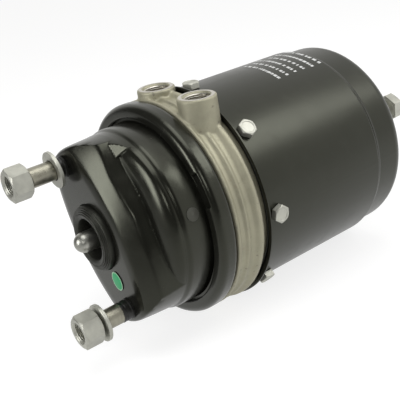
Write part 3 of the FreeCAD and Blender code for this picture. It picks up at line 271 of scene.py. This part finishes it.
def plated(name, colour, gloss=0.4):
    """Dull zinc flake coating with fine speckle and handling marks."""
    zinc = Finish(name, Metallic=0.75)
    speckle = zinc.noise(2100.0, 3.0, 0.6)
    cloud = zinc.window(zinc.noise(130.0, 4.0), 0.35, 0.7)
    darker = tuple(c * 0.72 for c in colour)
    zinc.set(Base_Color=zinc.mix(cloud * 0.75 + speckle * 0.2, darker, colour),
             Roughness=gloss + cloud * 0.12,
             Normal=zinc.bump(speckle, 0.00006, 0.45))
    return zinc.material


def turned_steel(name, colour, gloss, marks=2600.0):
    """Bare steel with turning marks round the chamber's axis."""
    steel = Finish(name, Metallic=1.0)
    lines = steel.noise(1.0, 3.0, 0.6, steel.stretched(30.0, marks, 30.0))
    cloud = steel.noise(90.0, 4.0)
    darker = tuple(c * 0.6 for c in colour)
    steel.set(Base_Color=steel.mix(lines * 0.6 + cloud * 0.4, darker, colour),
              Roughness=gloss + cloud * 0.14,
              Normal=steel.bump(lines, 0.00005, 0.5))
    return steel.material


def rubber(name, colour, gloss=0.55):
    """Moulded rubber with a fine matt skin."""
    skin = Finish(name, Specular_Tint=(0.97, 1.0, 0.85, 1.0))
    cloud = skin.noise(140.0, 5.0, 0.6)
    skin.set(Base_Color=skin.mix(cloud, colour, tuple(c * 1.8 + 0.003 for c in colour)),
             Roughness=gloss + cloud * 0.16,
             Normal=skin.bump(skin.noise(1600.0, 3.0), 0.00004, 0.5))
    return skin.material


def moulded(name, colour):
    """Plain moulded plastic with a slight grain."""
    plastic = Finish(name)
    cloud = plastic.noise(120.0, 4.0)
    plastic.set(Base_Color=plastic.mix(cloud, tuple(c * 0.85 for c in colour), colour),
                Roughness=0.42 + cloud * 0.1,
                Normal=plastic.bump(plastic.noise(900.0, 2.0), 0.00004, 0.3))
    return plastic.material


def stud_finish(name, colour, paint):
    """Stud plating that darkens to splashed paint at the pad."""
    steel = Finish(name)
    edge = steel.noise(420.0, 3.0) * 0.0012
    painted = steel.window(steel.along("Y") + edge, -0.0083, -0.0076)
    lines = steel.noise(1.0, 3.0, 0.6, steel.stretched(60.0, 900.0, 60.0))
    cloud = steel.window(steel.noise(150.0, 4.0), 0.36, 0.68)
    bare = steel.mix(cloud * 0.6 + lines * 0.4, tuple(c * 0.55 for c in colour), colour)
    steel.set(Base_Color=steel.mix(painted, bare, paint),
              Metallic=0.92 - painted * 0.92,
              Roughness=0.27 + cloud * 0.12 + painted * 0.05,
              Normal=steel.bump(lines, 0.00004, 0.4))
    return steel.material


def printed(name, colour):
    """Screen-printed ink that is a little broken up."""
    ink = Finish(name)
    worn = ink.window(ink.noise(700.0, 4.0, 0.7), 0.3, 0.5)
    ink.set(Base_Color=ink.mix(worn, tuple(c * 0.45 for c in colour), colour),
            Roughness=0.5 + worn * 0.08)
    return ink.material


# Meshes

def linked(name, mesh, material):
    """Object in the scene of a mesh that gets one material."""
    mesh.materials.clear()
    mesh.materials.append(material)
    piece = bpy.data.objects.new(name, mesh)
    bpy.context.scene.collection.objects.link(piece)
    return piece


def piece_from(name, points, faces, material, smooth=32.0):
    """Object of a mesh in millimetres, welded, turned outward and shaded by angle."""
    mesh = bpy.data.meshes.new(name)
    form = bmesh.new()
    made = [form.verts.new(Vector(p) * MM) for p in points]
    for face in faces:
        corners = []
        for index in face:
            if made[index] not in corners:
                corners.append(made[index])
        if len(corners) > 2:
            form.faces.new(corners)
    bmesh.ops.remove_doubles(form, verts=form.verts, dist=1e-7)
    bmesh.ops.recalc_face_normals(form, faces=form.faces)
    form.to_mesh(mesh)
    form.free()
    mesh.shade_smooth()
    mesh.set_sharp_from_angle(angle=math.radians(smooth))
    return linked(name, mesh, material)


class Shape:
    """Points and faces that are gathered before they become one piece."""

    def __init__(self):
        self.points = []
        self.faces = []

    def rings(self, rings, closed=False):
        """Quads between rings of as many points, with caps or as a closed tube."""
        start = len(self.points)
        count = len(rings[0])
        for ring in rings:
            self.points.extend(ring)
        rows = len(rings)
        for i in range(rows if closed else rows - 1):
            for j in range(count):
                a = start + i * count + j
                b = start + i * count + (j + 1) % count
                c = start + ((i + 1) % rows) * count + (j + 1) % count
                d = start + ((i + 1) % rows) * count + j
                self.faces.append((a, b, c, d))
        if not closed:
            self.faces.append(tuple(start + j for j in range(count)))
            last = start + (rows - 1) * count
            self.faces.append(tuple(last + j for j in reversed(range(count))))
        return self

    def turned(self, profile, columns=64, closed=False, flats=None):
        """Outline of (radius, y) turned about Y; flats cuts the outside to a hexagon."""
        rings = []
        for radius, y in profile:
            ring = []
            for j in range(columns):
                angle = TAU * j / columns
                reach = min(radius, hexagon_reach(angle, flats)) if flats else radius
                ring.append((reach * math.cos(angle), y, reach * math.sin(angle)))
            rings.append(ring)
        return self.rings(rings, closed=closed)

    def ridge(self, root, crest, pitch, start, end, steps=40):
        """Helical thread ridge between two places along Y, tapering into the wall."""
        turns = (end - start) / pitch
        rings = []
        for i in range(int(turns * steps) + 1):
            angle = TAU * i / steps
            y = start + pitch * i / steps
            fade = min(1.0, i / steps * 2, (turns * steps - i) / steps * 2)
            reach = root + (crest - root) * max(fade, 0.02)
            half, tip = pitch * 0.46, pitch * 0.08
            ring = []
            for radius, shift in ((root, -half), (reach, -tip), (reach, tip), (root, half)):
                ring.append((radius * math.cos(angle), y + shift, radius * math.sin(angle)))
            rings.append(ring)
        return self.rings(rings)

    def moved(self, origin, axis=(0, 1, 0), turn=0.0):
        """The shape with its Y axis along another one, from another origin."""
        facing = Vector((0, 1, 0)).rotation_difference(Vector(axis)).to_matrix().to_4x4()
        matrix = Matrix.Translation(Vector(origin)) @ facing @ Matrix.Rotation(turn, 4, "Y")
        self.points = [tuple(matrix @ Vector(p)) for p in self.points]
        return self

    def joined(self, other):
        """This shape with another one beside it."""
        start = len(self.points)
        self.points.extend(other.points)
        self.faces.extend(tuple(i + start for i in face) for face in other.faces)
        return self

    def piece(self, name, material, body, slot=None, stands_for=(), smooth=32.0):
        """The shape as a piece that rides on a body."""
        made = piece_from(name, self.points, self.faces, material, smooth)
        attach(made, body)
        if stands_for:
            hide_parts(*stands_for)
        return made


def hexagon_reach(angle, flats):
    """Distance from the centre of a hexagon to its side."""
    sector = math.pi / 3
    return flats / 2 / math.cos((angle + sector / 2) % sector - sector / 2)


def chamfered(flats, low, high, face_share=0.95, both=True):
    """Outline of a hexagonal head whose corners are turned off at 30 degrees."""
    corner = flats / math.sqrt(3)
    face = flats / 2 * face_share
    depth = (corner - face) / math.sqrt(3)
    steps = 5
    rows = [(face + (corner - face) * k / steps, high - depth * k / steps)
            for k in range(steps + 1)]
    if both:
        bottom = [(radius, low + high - y) for radius, y in rows]
    else:
        bottom = [(corner, low)]
    return bottom + rows[::-1]


def ramp(values, low, high):
    """0 below low, 1 above high and a smooth rise between them."""
    share = np.clip((values - low) / (high - low), 0.0, 1.0)
    return share * share * (3 - 2 * share)


def hinge(values, width):
    """0 before zero, the value itself after it, with a soft bend between."""
    return 0.5 * (values + np.sqrt(values * values + width * width))


def lesser(first, second, width):
    """The lesser of two heights, blended where they are within a width."""
    share = np.clip(0.5 + 0.5 * (second - first) / width, 0.0, 1.0)
    return second * (1 - share) + first * share - width * share * (1 - share)


def circle_fall(distance, radius):
    """1 at no distance, falling as a quarter circle to 0 at the radius."""
    return np.sqrt(np.clip(1 - (distance / radius) ** 2, 0, 1))


def pad_flank(reach, along):
    """Depth of the pad's long side: a soft bend, a slope, and a wall beyond a crest."""
    off = reach - (PAD_HALF_WIDTH - along ** 2 / PAD_SIDE_CURVE)
    bulge = 1.1 * np.exp(-(along / 9) ** 2)
    crest = 14.5 + bulge + 5.0 * ramp(-along, 30, 64) + 2.5 * ramp(along, 34, 80)
    bend = 0.2 * hinge(off + 5.5, 1.5)
    slope = 0.52 * hinge(off - 1.8, 2.0)
    wall = 4.2 * hinge(off - crest, 0.6)
    return bend + slope + wall


def pad_end(radius):
    """Depth of the pad's round ends, which roll over toward the rim."""
    beyond = (-5, -4, -3, -2, -1, -0.4, 0, 0.6, 1.6)
    depths = (0, 0.1, 0.42, 1.0, 2.0, 3.0, 5.0, 14, 32)
    return np.interp(radius - PAD_END_RADIUS, beyond, depths)


def bowl_floor(radius, along):
    """Depth of the round bowl behind the pad, with a shallow pocket in it."""
    rise = circle_fall(hinge(radius - BOWL_FLAT_RADIUS, 4), 22.25)
    pocket = 1.6 * np.exp(-((along + 20) / 24) ** 2) * rise
    return BOWL_DEPTH + 11.2 * (1 - rise) + pocket


def flat_facet(radius, reach, along):
    """Depth of the two flat facets beside the upper stud, down to the rounded rim."""
    plane = 20.4 + 0.78 * (reach - 47.2) - 0.2 * (along + 46.6)
    rim = 21.0 + 11.0 * (1 - circle_fall(hinge(radius - 72.2, 0.4), 2.2))
    return np.maximum(plane, rim)


def drawn_front(across, along):
    """Depth of the drawn housing's front behind the pad's face, in millimetres."""
    reach = np.abs(across)
    radius = np.hypot(across, along)
    platform = -lesser(-pad_flank(reach, along), -pad_end(radius), 2.5)
    share = ramp(-(along + FACET_START) - 0.25 * (reach - 46.8), -0.4, 0.4)
    bowl = bowl_floor(radius, along) * (1 - share) + flat_facet(radius, reach, along) * share
    return lesser(platform, bowl, 0.3)


def drawn_housing(columns=960):
    """Closed sheet of the service housing, from the rod's hole over the rim and back."""
    angles = np.arange(columns) * TAU / columns
    cosine, sine = np.cos(angles), np.sin(angles)
    rings = []

    def ring(radius, depth):
        """One ring about the rod, turned so that the pad lies along the studs."""
        across, along = radius * cosine, radius * sine
        x = across * math.cos(STUD_TURN) + along * math.sin(STUD_TURN)
        z = across * math.sin(STUD_TURN) - along * math.cos(STUD_TURN)
        rings.append(np.stack([x, np.full(columns, depth), z], axis=1).tolist())

    front = [*np.arange(ROD_HOLE_RADIUS, 73.4, 0.42), 73.6, 73.9, 74.1, 74.2]
    rim = ((74.25, 32.6), (74.6, 33.6), (75.3, 34.7), (75.8, 35.8), (76, 37.2), (76, 45),
           (76, 54), (76.5, 55.8), (78, 56.3), (84, 56.3), (84, 59.8), (INNER_RADIUS, 59.8),
           (INNER_RADIUS, 45))
    for radius in front:
        ring(radius, drawn_front(radius * cosine, radius * sine))
    for radius, depth in rim:
        ring(radius, depth)
    for radius in front[::-3]:
        ring(min(radius, INNER_RADIUS), drawn_front(radius * cosine, radius * sine) + SHEET)
    ring(ROD_HOLE_RADIUS, SHEET)
    return Shape().rings(rings, closed=True)


def softened(node, name, material, voxel, rounds, body):
    """A pressed or cast piece: the node's form with its folds rounded."""
    source = bpy.data.objects.new(name + "_source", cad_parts[node].data.copy())
    bpy.context.scene.collection.objects.link(source)
    form = bpy.data.objects.new(name + "_form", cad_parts[node].data)
    remesh = source.modifiers.new("remesh", "REMESH")
    remesh.mode = "VOXEL"
    remesh.voxel_size = voxel * MM
    snap = source.modifiers.new("snap", "SHRINKWRAP")
    snap.target = form
    snap.wrap_method = "NEAREST_SURFACEPOINT"
    smooth = source.modifiers.new("smooth", "SMOOTH")
    smooth.factor = 0.5
    smooth.iterations = rounds
    graph = bpy.context.evaluated_depsgraph_get()
    mesh = bpy.data.meshes.new_from_object(source.evaluated_get(graph))
    bpy.data.objects.remove(source)
    bpy.data.objects.remove(form)
    mesh.shade_smooth()
    piece = linked(name, mesh, material)
    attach(piece, body)
    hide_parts(node)


def yielding(node, name, material):
    """A spring of the node's own form, copied as a piece with a mesh of its own on the chamber's
    body.
    """
    piece = linked(name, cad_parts[node].data.copy(), material)
    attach(piece, "chamber")
    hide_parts(node)
    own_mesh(piece)


def coat(nodes, material):
    """Gives CAD nodes a finish through their objects' own material slots."""
    for name in nodes:
        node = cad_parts[name]
        if not node.material_slots:
            node.data.materials.append(material)
        for slot in node.material_slots:
            slot.link = "OBJECT"
            slot.material = material


# Settings

def colour_setting(name, description, default):
    """A colour that a user may change."""
    return FloatVectorProperty(name=name, description=description, default=default,
                               subtype="COLOR", size=3, min=0.0, max=1.0)


class ChamberColours(bpy.types.PropertyGroup):
    """Colours of the chamber's finishes."""

    enamel: colour_setting("Enamel", "Paint on the pressed steel", (0.0072, 0.0072, 0.0056))
    alloy: colour_setting("Alloy", "Blasted cast flange", (0.47, 0.45, 0.33))
    zinc: colour_setting("Zinc", "Coating of nuts, bolts and washers", (0.60, 0.60, 0.53))
    stud: colour_setting("Stud", "Plating of the studs", (0.40, 0.385, 0.31))
    rod: colour_setting("Rod", "Push rod", (0.52, 0.52, 0.47))
    rubber: colour_setting("Rubber", "Seals and plugs", (0.0072, 0.007, 0.0058))
    ink: colour_setting("Ink", "Printed marks", (0.74, 0.75, 0.74))
    sticker: colour_setting("Sticker", "Round sticker on the pad", (0.03, 0.42, 0.16))
    sticker_rim: colour_setting("Sticker rim", "Border of the sticker", (0.42, 0.68, 0.46))


class ChamberSizes(bpy.types.PropertyGroup):
    """Sizes of the pieces that are dressed here."""

    nut_flats: FloatProperty(
        name="Nut flats", description="Stud nut across flats", default=0.024, unit="LENGTH")
    bolt_flats: FloatProperty(
        name="Bolt flats", description="Cylinder bolt across flats", default=0.0130,
        unit="LENGTH")
    bolt_count: IntProperty(
        name="Bolts", description="Bolts round the cylinder", default=8, min=3, max=16)
    fold_voxel: FloatProperty(
        name="Fold detail", description="Cell size in which pressed folds are rounded",
        default=0.0010, unit="LENGTH")
    print_rows: IntProperty(
        name="Print rows", description="Rows of printed marks", default=6, min=1, max=12)
    washer_tilt: FloatProperty(
        name="Washer tilt", description="Lean of the upper washer on its stud",
        default=math.radians(5.0), subtype="ANGLE")


class StageSettings(bpy.types.PropertyGroup):
    """Camera and light."""

    lens: FloatProperty(
        name="Lens", description="Focal length of the camera in millimetres",
        default=66.795, min=10.0)
    key: FloatProperty(
        name="Key lamp", description="Power of the overhead softbox in watts", default=5.6)
    side: FloatProperty(
        name="Front lamp", description="Power of the softbox before the pad in watts",
        default=5.2)
    back: FloatProperty(
        name="Rear lamp", description="Power of the softbox above the rear in watts",
        default=3.0)
    fill: FloatProperty(
        name="Camera lamp", description="Power of the softbox beside the camera in watts",
        default=1.2)
    ambient: FloatProperty(
        name="Ambient", description="Brightness of the room round the object",
        default=0.42, min=0.0)


# Operators and the forms that they make

class CHAMBER_OT_housing(bpy.types.Operator):
    """Form the pressed service housing and the crimped clamp ring"""

    bl_idname = "chamber.housing"
    bl_label = "Housing and Clamp"

    def execute(self, context):
        scene = context.scene
        colours, sizes = scene.chamber_colours, scene.chamber_sizes
        paint = enamel("satin_black_enamel", tuple(colours.enamel), 0.21)
        voxel = sizes.fold_voxel / MM
        drawn_housing().piece("pressed_housing", paint, "chamber", "black_paint",
                              ["service_housing"], 42.0)
        softened("clamp_ring", "crimped_clamp", paint, voxel * 0.8, 4, "chamber")
        coat(["spring_cylinder", "rear_cap"],
             enamel("barrel_enamel", tuple(colours.enamel), 0.3))
        return {"FINISHED"}


def stud():
    """Mounting stud with its painted collar, its threaded end and its head behind the pad."""
    shape = Shape().turned([
        (AXIS, -40), (6.2, -40), (7.05, -39.2), (7.05, -29.6), (7.9, -28.6), (7.9, -8.2),
        (8.15, -8.0), (8.15, -6.6), (7.75, -6.2), (7.75, -5.4), (8.15, -5.0), (8.15, -1.6),
        (8.6, -0.9), (8.6, 3.5), (AXIS, 3.5)])
    shape.joined(Shape().ridge(7.0, 7.92, 1.5, -39, -29.5))
    return shape.joined(Shape().turned([
        (AXIS, 3.5), (7.4, 3.5), (7.4, 6.7), (6.6, 7.5), (AXIS, 7.5)]))


def nut(flats, thread_end):
    """Hexagonal nut that is chamfered on both faces, with its thread in the mouth."""
    height, chamfer, bore = 16, 0.9, 8.05
    inside = [(8.9, height), (bore, height - chamfer), (bore, chamfer), (8.9, 0)]
    shape = Shape().turned(chamfered(flats, 0, height) + inside, columns=72, closed=True,
                           flats=flats)
    return shape.joined(Shape().ridge(8.06, 7.3, 1.5, 1.0, thread_end))


def washer():
    """Flat washer with broken edges."""
    return Shape().turned([(8.6, -1.5), (14.6, -1.5), (15, -1.1), (15, 1.1), (14.6, 1.5),
                           (8.6, 1.5)], closed=True)


def cylinder_bolt(flats):
    """Bolt through the cylinder's wall, with a dished hexagonal head."""
    sides = chamfered(flats, 0.5, 5.3, 0.93, False)
    head = Shape().turned(
        [(AXIS, 0.0), (6.0, 0.0), (6.2, 0.5)] + sides + [(5.2, 5.25), (4.6, 4.85), (AXIS, 4.85)],
        columns=72, flats=flats)
    return head.joined(Shape().turned(
        [(AXIS, -18), (3.4, -18), (4, -17.3), (4, 0.1), (AXIS, 0.1)], columns=24))


class CHAMBER_OT_fasteners(bpy.types.Operator):
    """Turn the studs, their nuts and washers and the cylinder bolts"""

    bl_idname = "chamber.fasteners"
    bl_label = "Studs, Nuts and Bolts"

    def execute(self, context):
        scene = context.scene
        colours, sizes = scene.chamber_colours, scene.chamber_sizes
        zinc = plated("zinc_flake", tuple(colours.zinc))
        steel = stud_finish("stud_plating", tuple(colours.stud), tuple(colours.enamel))
        studs, nuts, washers = Shape(), Shape(), Shape()
        for side, nut_y, turn, thread_end, washer_y, tilt in (
                (1, -46.3, 12.0, 6.5, -7.5, sizes.washer_tilt),
                (-1, -44.1, 24.0, 5.0, -24.8, math.radians(0.8))):
            reach = side * STUD_SPACING / 2
            x, z = -reach * math.sin(STUD_TURN), reach * math.cos(STUD_TURN)
            studs.joined(stud().moved((x, 0, z)))
            nuts.joined(nut(sizes.nut_flats / MM, thread_end).moved(
                (x, nut_y, z), turn=-math.radians(turn)))
            lean = (math.sin(tilt) * WASHER_LEAN[0], math.cos(tilt),
                    math.sin(tilt) * WASHER_LEAN[1])
            washers.joined(washer().moved((x, washer_y, z), axis=lean))
        studs.piece("threaded_studs", steel, "chamber", "bright_steel", ["mounting_studs"])
        nuts.piece("chamfered_nuts", zinc, "chamber", "zinc_steel", ["stud_nuts"], 24.0)
        washers.piece("flat_washers", zinc, "chamber", "zinc_steel", ["stud_washers"])
        bolts = Shape()
        for k in range(sizes.bolt_count):
            angle = TAU * k / sizes.bolt_count
            out = Vector((math.cos(angle), 0, math.sin(angle)))
            seat = out * BOLT_SEAT_RADIUS + Vector((0, BOLT_RING_Y, 0))
            turn = random.Random(k).uniform(0, math.pi / 3)
            bolts.joined(cylinder_bolt(sizes.bolt_flats / MM).moved(seat, axis=out, turn=turn))
        bolts.piece("hex_bolts", zinc, "chamber", "zinc_steel", ["cylinder_bolts"], 24.0)
        return {"FINISHED"}


class CHAMBER_OT_ports(bpy.types.Operator):
    """Finish the cast flange and cut the threads of its air ports"""

    bl_idname = "chamber.ports"
    bl_label = "Flange and Ports"

    def execute(self, context):
        colours = context.scene.chamber_colours
        cast = casting("blasted_alloy", tuple(colours.alloy))
        softened("intermediate_flange", "cast_flange", cast, 1.0, 4, "chamber")
        cut = turned_steel("machined_alloy", (0.72, 0.69, 0.62), 0.3, 900.0)
        threads, faces = Shape(), Shape()
        for x, y in PORTS:
            threads.joined(Shape().ridge(10.19, 9.35, 1.5, 0.8, 14.2, 48).moved(
                (x, y, PORT_TOP - 15.9), axis=(0, 0, 1)))
            faces.joined(Shape().turned(
                [(11.45, -0.05), (14.0, -0.05), (14.05, 0.0), (11.45, 0.0)],
                closed=True).moved((x, y, PORT_TOP), axis=(0, 0, 1)))
        threads.piece("port_threads", cut, "chamber", "cast_alloy")
        faces.piece("port_faces", cut, "chamber", "cast_alloy")
        return {"FINISHED"}


def lip_outline(inner, rear):
    """Outline of the face seal's front, with three ribs in steps."""
    outline = [(inner, -4.6), (17.5, -5.1), (20.6, -6.1), (21.1, -6.0), (21.4, -5.5)]
    for k in range(3):
        radius = 21.9 + k * 1.45
        y = -5.9 + k * 0.8
        outline += [(radius, y), (radius + 0.65, y), (radius + 0.95, y + 0.9),
                    (radius + 1.2, y + 0.9)]
    return outline + [(26.4, -3.0), (26.7, -2.4), (26.7, -0.3), (26.6, -0.3), (26.6, 3.5),
                      (33.0, 3.5), (33.0, rear), (inner, rear)]


def bellows_outline(inner, front):
    """Outline of the seal's bellows, whose folds run back to the rod."""
    thickness = 1.6
    outside, inside = [], []
    for i in range(2, 12):
        y = 50.0 * (i + 1) / 13
        radius = inner if i % 2 else 10.5
        outside.append((radius + thickness, y))
        if y < 44:
            inside.append((radius, y))
    return [(inner, front), (inner + thickness, front), *outside, (11.0, 47.5), (11.0, 52.5),
            (8.05, 52.5), (8.05, 46.7), *inside[::-1]]


class CHAMBER_OT_seal(bpy.types.Operator):
    """Mould the ribbed rod seal and finish the rod, plugs and hidden pieces"""

    bl_idname = "chamber.seal"
    bl_label = "Rod, Seals and Inner Pieces"

    def execute(self, context):
        colours = context.scene.chamber_colours
        black = rubber("seal_rubber", tuple(colours.rubber), 0.36)
        lips = Shape().turned(lip_outline(17.1, 6.5), columns=96, closed=True)
        lips.piece("ribbed_seal", black, "chamber", "black_rubber", ["rod_seal"], 50.0)
        folds = Shape().turned(bellows_outline(17.1, 6.6), columns=96, closed=True).piece(
            "seal_bellows", black, "chamber", "black_rubber", smooth=50.0)
        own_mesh(folds)
        coat(["service_diaphragm", "piston_seal", "tube_seals", "cylinder_o_ring"], black)
        coat(["vent_plugs"], rubber("plug_rubber", (0.05, 0.05, 0.043), 0.45))
        coat(["push_rod"], turned_steel("rod_steel", tuple(colours.rod), 0.3, 700.0))
        coat(["push_plate", "push_tube", "push_foot", "seal_retainer", "thrust_washer",
              "bolt_circlip"], turned_steel("bright_steel", (0.5, 0.5, 0.49), 0.32))
        wire = turned_steel("spring_wire", (0.09, 0.09, 0.1), 0.42, 400.0)
        yielding("return_spring", "coiled_return_spring", wire)
        yielding("power_spring", "coiled_power_spring", wire)
        coat(["spring_piston"], casting("piston_alloy", (0.6, 0.6, 0.6)))
        coat(["piston_guide_ring", "tube_guide_bush"], moulded("guide_nylon", (0.6, 0.57, 0.48)))
        return {"FINISHED"}


class CHAMBER_OT_release(bpy.types.Operator):
    """Thread the caging bolt behind the cap"""

    bl_idname = "chamber.release"
    bl_label = "Release Bolt"

    def execute(self, context):
        colours = context.scene.chamber_colours
        zinc = plated("release_zinc", tuple(colours.zinc), 0.36)
        flats = 24.0
        low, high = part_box("release_bolt")
        front, rear = low.y / MM, high.y / MM
        collar = rear - 12.0
        head = collar + 0.8
        bolt = Shape().turned([
            (AXIS, front), (7.0, front), (7.9, front + 1), (7.9, front + 2), (6.8, front + 2),
            (6.8, front + 3.2), (7.05, front + 3.2), (7.05, collar), (11.2, collar),
            (11.2, head), (AXIS, head)])
        bolt.joined(Shape().ridge(7.0, 7.9, 2.0, front + 8, collar - 1.5, 36))
        sides = chamfered(flats, head, rear, 0.94, False)
        bolt.joined(Shape().turned(
            [(AXIS, head)] + sides + [(5.0, rear - 0.05), (4.4, rear - 0.7), (AXIS, rear - 0.7)],
            columns=72, flats=flats))
        bolt.piece("caging_bolt", zinc, "release_bolt", "zinc_steel", ["release_bolt"], 24.0)
        coat(["release_nut"], zinc)
        return {"FINISHED"}


def bar(radius, middle, start, end):
    """Thin printed bar on the cylinder about a place on Y, between two angles in degrees."""
    steps = max(2, int((end - start) / 1.2))
    front, rear = middle - PRINT_HALF_HEIGHT, middle + PRINT_HALF_HEIGHT
    rings = []
    for k in range(steps + 1):
        angle = math.radians(start + (end - start) * k / steps)
        rings.append([(reach * math.cos(angle), y, reach * math.sin(angle)) for reach, y in (
            (radius, front), (radius + 0.03, front), (radius + 0.03, rear), (radius, rear))])
    return Shape().rings(rings)


def disc(centre, along, across, length, width, lift):
    """Thin oval before the pad's face, with a slightly rounded edge."""
    rings = []
    for share, y in ((1.0, -0.005), (1.0, -lift * 0.7), (0.985, -lift)):
        rings.append([tuple(centre + along * length * share * math.cos(TAU * k / 72)
                            + across * width * share * math.sin(TAU * k / 72)
                            + Vector((0, y, 0))) for k in range(72)])
    return Shape().rings(rings)


class CHAMBER_OT_marks(bpy.types.Operator):
    """Print plain bars on the cylinder and stick the oval sticker on the pad"""

    bl_idname = "chamber.marks"
    bl_label = "Printed Marks"

    def execute(self, context):
        scene = context.scene
        colours, sizes = scene.chamber_colours, scene.chamber_sizes
        dice = random.Random(7)
        marks = Shape()
        for row in range(sizes.print_rows):
            y = PRINT_START + row * PRINT_SPACING
            angle = PRINT_FROM + dice.uniform(0, 1.2)
            end = PRINT_TO + dice.uniform(-6, 2)
            while angle < end:
                length = dice.uniform(0.8, 2.6)
                marks.joined(bar(BOLT_SEAT_RADIUS + 0.02, y, angle, min(angle + length, end)))
                angle += length + dice.choice((0.55, 0.55, 1.5))
        marks.piece("printed_bars", printed("white_ink", tuple(colours.ink)), "chamber")
        along = Vector((math.sin(STUD_TURN), 0, -math.cos(STUD_TURN)))
        across = Vector((math.cos(STUD_TURN), 0, math.sin(STUD_TURN)))
        centre = across * 2.7 + along * 37.7
        for name, length, width, lift, colour in (
                ("sticker_rim", 7.8, 6.9, 0.06, colours.sticker_rim),
                ("sticker", 6.9, 6.0, 0.1, colours.sticker)):
            disc(centre, along, across, length, width, lift).piece(
                name, moulded(name + "_film", tuple(colour)), "chamber")
        return {"FINISHED"}


class CHAMBER_OT_stage(bpy.types.Operator):
    """Lay the white floor and set the lamps and the camera"""

    bl_idname = "chamber.stage"
    bl_label = "Stage"

    def execute(self, context):
        scene = context.scene
        settings = scene.chamber_stage
        scene.view_settings.view_transform = "Standard"
        white_room(scene, settings.ambient)
        level = CAD_BOX[0].z / MM - FLOOR_GAP
        corners = [(x * FLOOR_REACH, y * FLOOR_REACH, level)
                   for x, y in ((-1, -1), (1, -1), (1, 1), (-1, 1))]
        piece_from("floor", corners, [(0, 1, 2, 3)], floor_finish())
        lamp("overhead_softbox", (0.15, 0.1, 1.25), (0.0, 0.1, 0.0), 0.8, 0.8, settings.key)
        lamp("front_softbox", (-0.12, -1.05, 0.36), (0.03, 0.02, 0.03), 0.36, 0.62, settings.side)
        lamp("rear_softbox", (0.55, 0.75, 0.8), (0.0, 0.14, 0.0), 0.5, 0.5, settings.back)
        lamp("camera_softbox", (0.78, -0.58, 0.56), (0.06, 0.03, 0.0), 0.3, 0.3, settings.fill)
        camera = bpy.data.cameras.new("camera")
        camera.lens = settings.lens
        camera.sensor_width = 36.0
        camera.clip_end = 50.0
        view = bpy.data.objects.new("camera", camera)
        facing = Matrix((CAMERA_RIGHT, CAMERA_UP, CAMERA_BACK)).transposed().to_4x4()
        view.matrix_world = Matrix.Translation(CAMERA_PLACE) @ facing
        scene.collection.objects.link(view)
        scene.camera = view
        return {"FINISHED"}


def lamp(name, place, target, width, height, power):
    """Rectangular softbox that faces a target."""
    light = bpy.data.lights.new(name, "AREA")
    light.shape = "RECTANGLE"
    light.size = width
    light.size_y = height
    light.energy = power
    holder = bpy.data.objects.new(name, light)
    holder.location = place
    facing = Vector(target) - Vector(place)
    holder.rotation_mode = "QUATERNION"
    holder.rotation_quaternion = facing.to_track_quat("-Z", "Y")
    bpy.context.scene.collection.objects.link(holder)


def white_room(scene, ambient):
    """Even room light that the camera and glass see as white and mirrors see with a dark side."""
    world = bpy.data.worlds.new("white_room")
    scene.world = world
    world.use_nodes = True
    room = Nodes(world.node_tree)
    place = room.add("ShaderNodeTexCoord", output="Generated")
    toward = room.add("ShaderNodeVectorMath", {"operation": "DOT_PRODUCT"},
                      {0: place, 1: DARK_SIDE}, output="Value")
    dark = room.window(toward, -0.12, 0.18)
    camera, glossy, clear = room.rays()
    seen = camera + glossy + clear
    level = (1 - seen) * ambient + camera + clear + glossy * (0.94 - dark * 0.84)
    light = room.add("ShaderNodeBackground", inputs={"Color": (1.0, 0.995, 0.98),
                                                     "Strength": level})
    room.add("ShaderNodeOutputWorld", inputs={"Surface": light})


def floor_finish():
    """Matt floor that the camera sees as white, while in mirrors it darkens before the pad."""
    paper = Finish("floor_paper", Base_Color=(0.32, 0.32, 0.32), Roughness=1.0,
                   Specular_IOR_Level=0.0, Emission_Strength=1.0)
    camera, glossy, clear = paper.rays()
    behind = paper.window(paper.along("Y"), -0.35, 0.1)
    mirrored = (glossy + clear) * (behind * 0.88 + 0.12)
    paper.set(Emission_Color=paper.mix(camera + mirrored, (0.0, 0.0, 0.0), (0.8, 0.8, 0.8)))
    return paper.material


OPERATORS = (CHAMBER_OT_housing, CHAMBER_OT_fasteners, CHAMBER_OT_ports, CHAMBER_OT_seal,
             CHAMBER_OT_release, CHAMBER_OT_marks, CHAMBER_OT_stage)


class CHAMBER_PT_panel(bpy.types.Panel):
    """Sizes, colours and steps of the brake chamber"""

    bl_idname = "CHAMBER_PT_panel"
    bl_label = "Air Brake Chamber"
    bl_space_type = "VIEW_3D"
    bl_region_type = "UI"
    bl_category = "Chamber"

    def draw(self, context):
        scene = context.scene
        for settings in (scene.chamber_colours, scene.chamber_sizes, scene.chamber_stage):
            for key in settings.__annotations__:
                self.layout.prop(settings, key)
        for operator in OPERATORS:
            self.layout.operator(operator.bl_idname)


CLASSES = (ChamberColours, ChamberSizes, StageSettings, *OPERATORS, CHAMBER_PT_panel)


def register():
    """Makes the classes and the scene's settings known to Blender."""
    for cls in CLASSES:
        bpy.utils.register_class(cls)
    bpy.types.Scene.chamber_colours = PointerProperty(type=ChamberColours)
    bpy.types.Scene.chamber_sizes = PointerProperty(type=ChamberSizes)
    bpy.types.Scene.chamber_stage = PointerProperty(type=StageSettings)


def unregister():
    """Takes back what register did."""
    del bpy.types.Scene.chamber_stage
    del bpy.types.Scene.chamber_sizes
    del bpy.types.Scene.chamber_colours
    for cls in reversed(CLASSES):
        bpy.utils.unregister_class(cls)


def main():
    """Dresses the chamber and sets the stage."""
    register()
    bpy.ops.chamber.housing()
    bpy.ops.chamber.fasteners()
    bpy.ops.chamber.ports()
    bpy.ops.chamber.seal()
    bpy.ops.chamber.release()
    bpy.ops.chamber.marks()
    bpy.ops.chamber.stage()


if __name__ == "__main__":
    main()
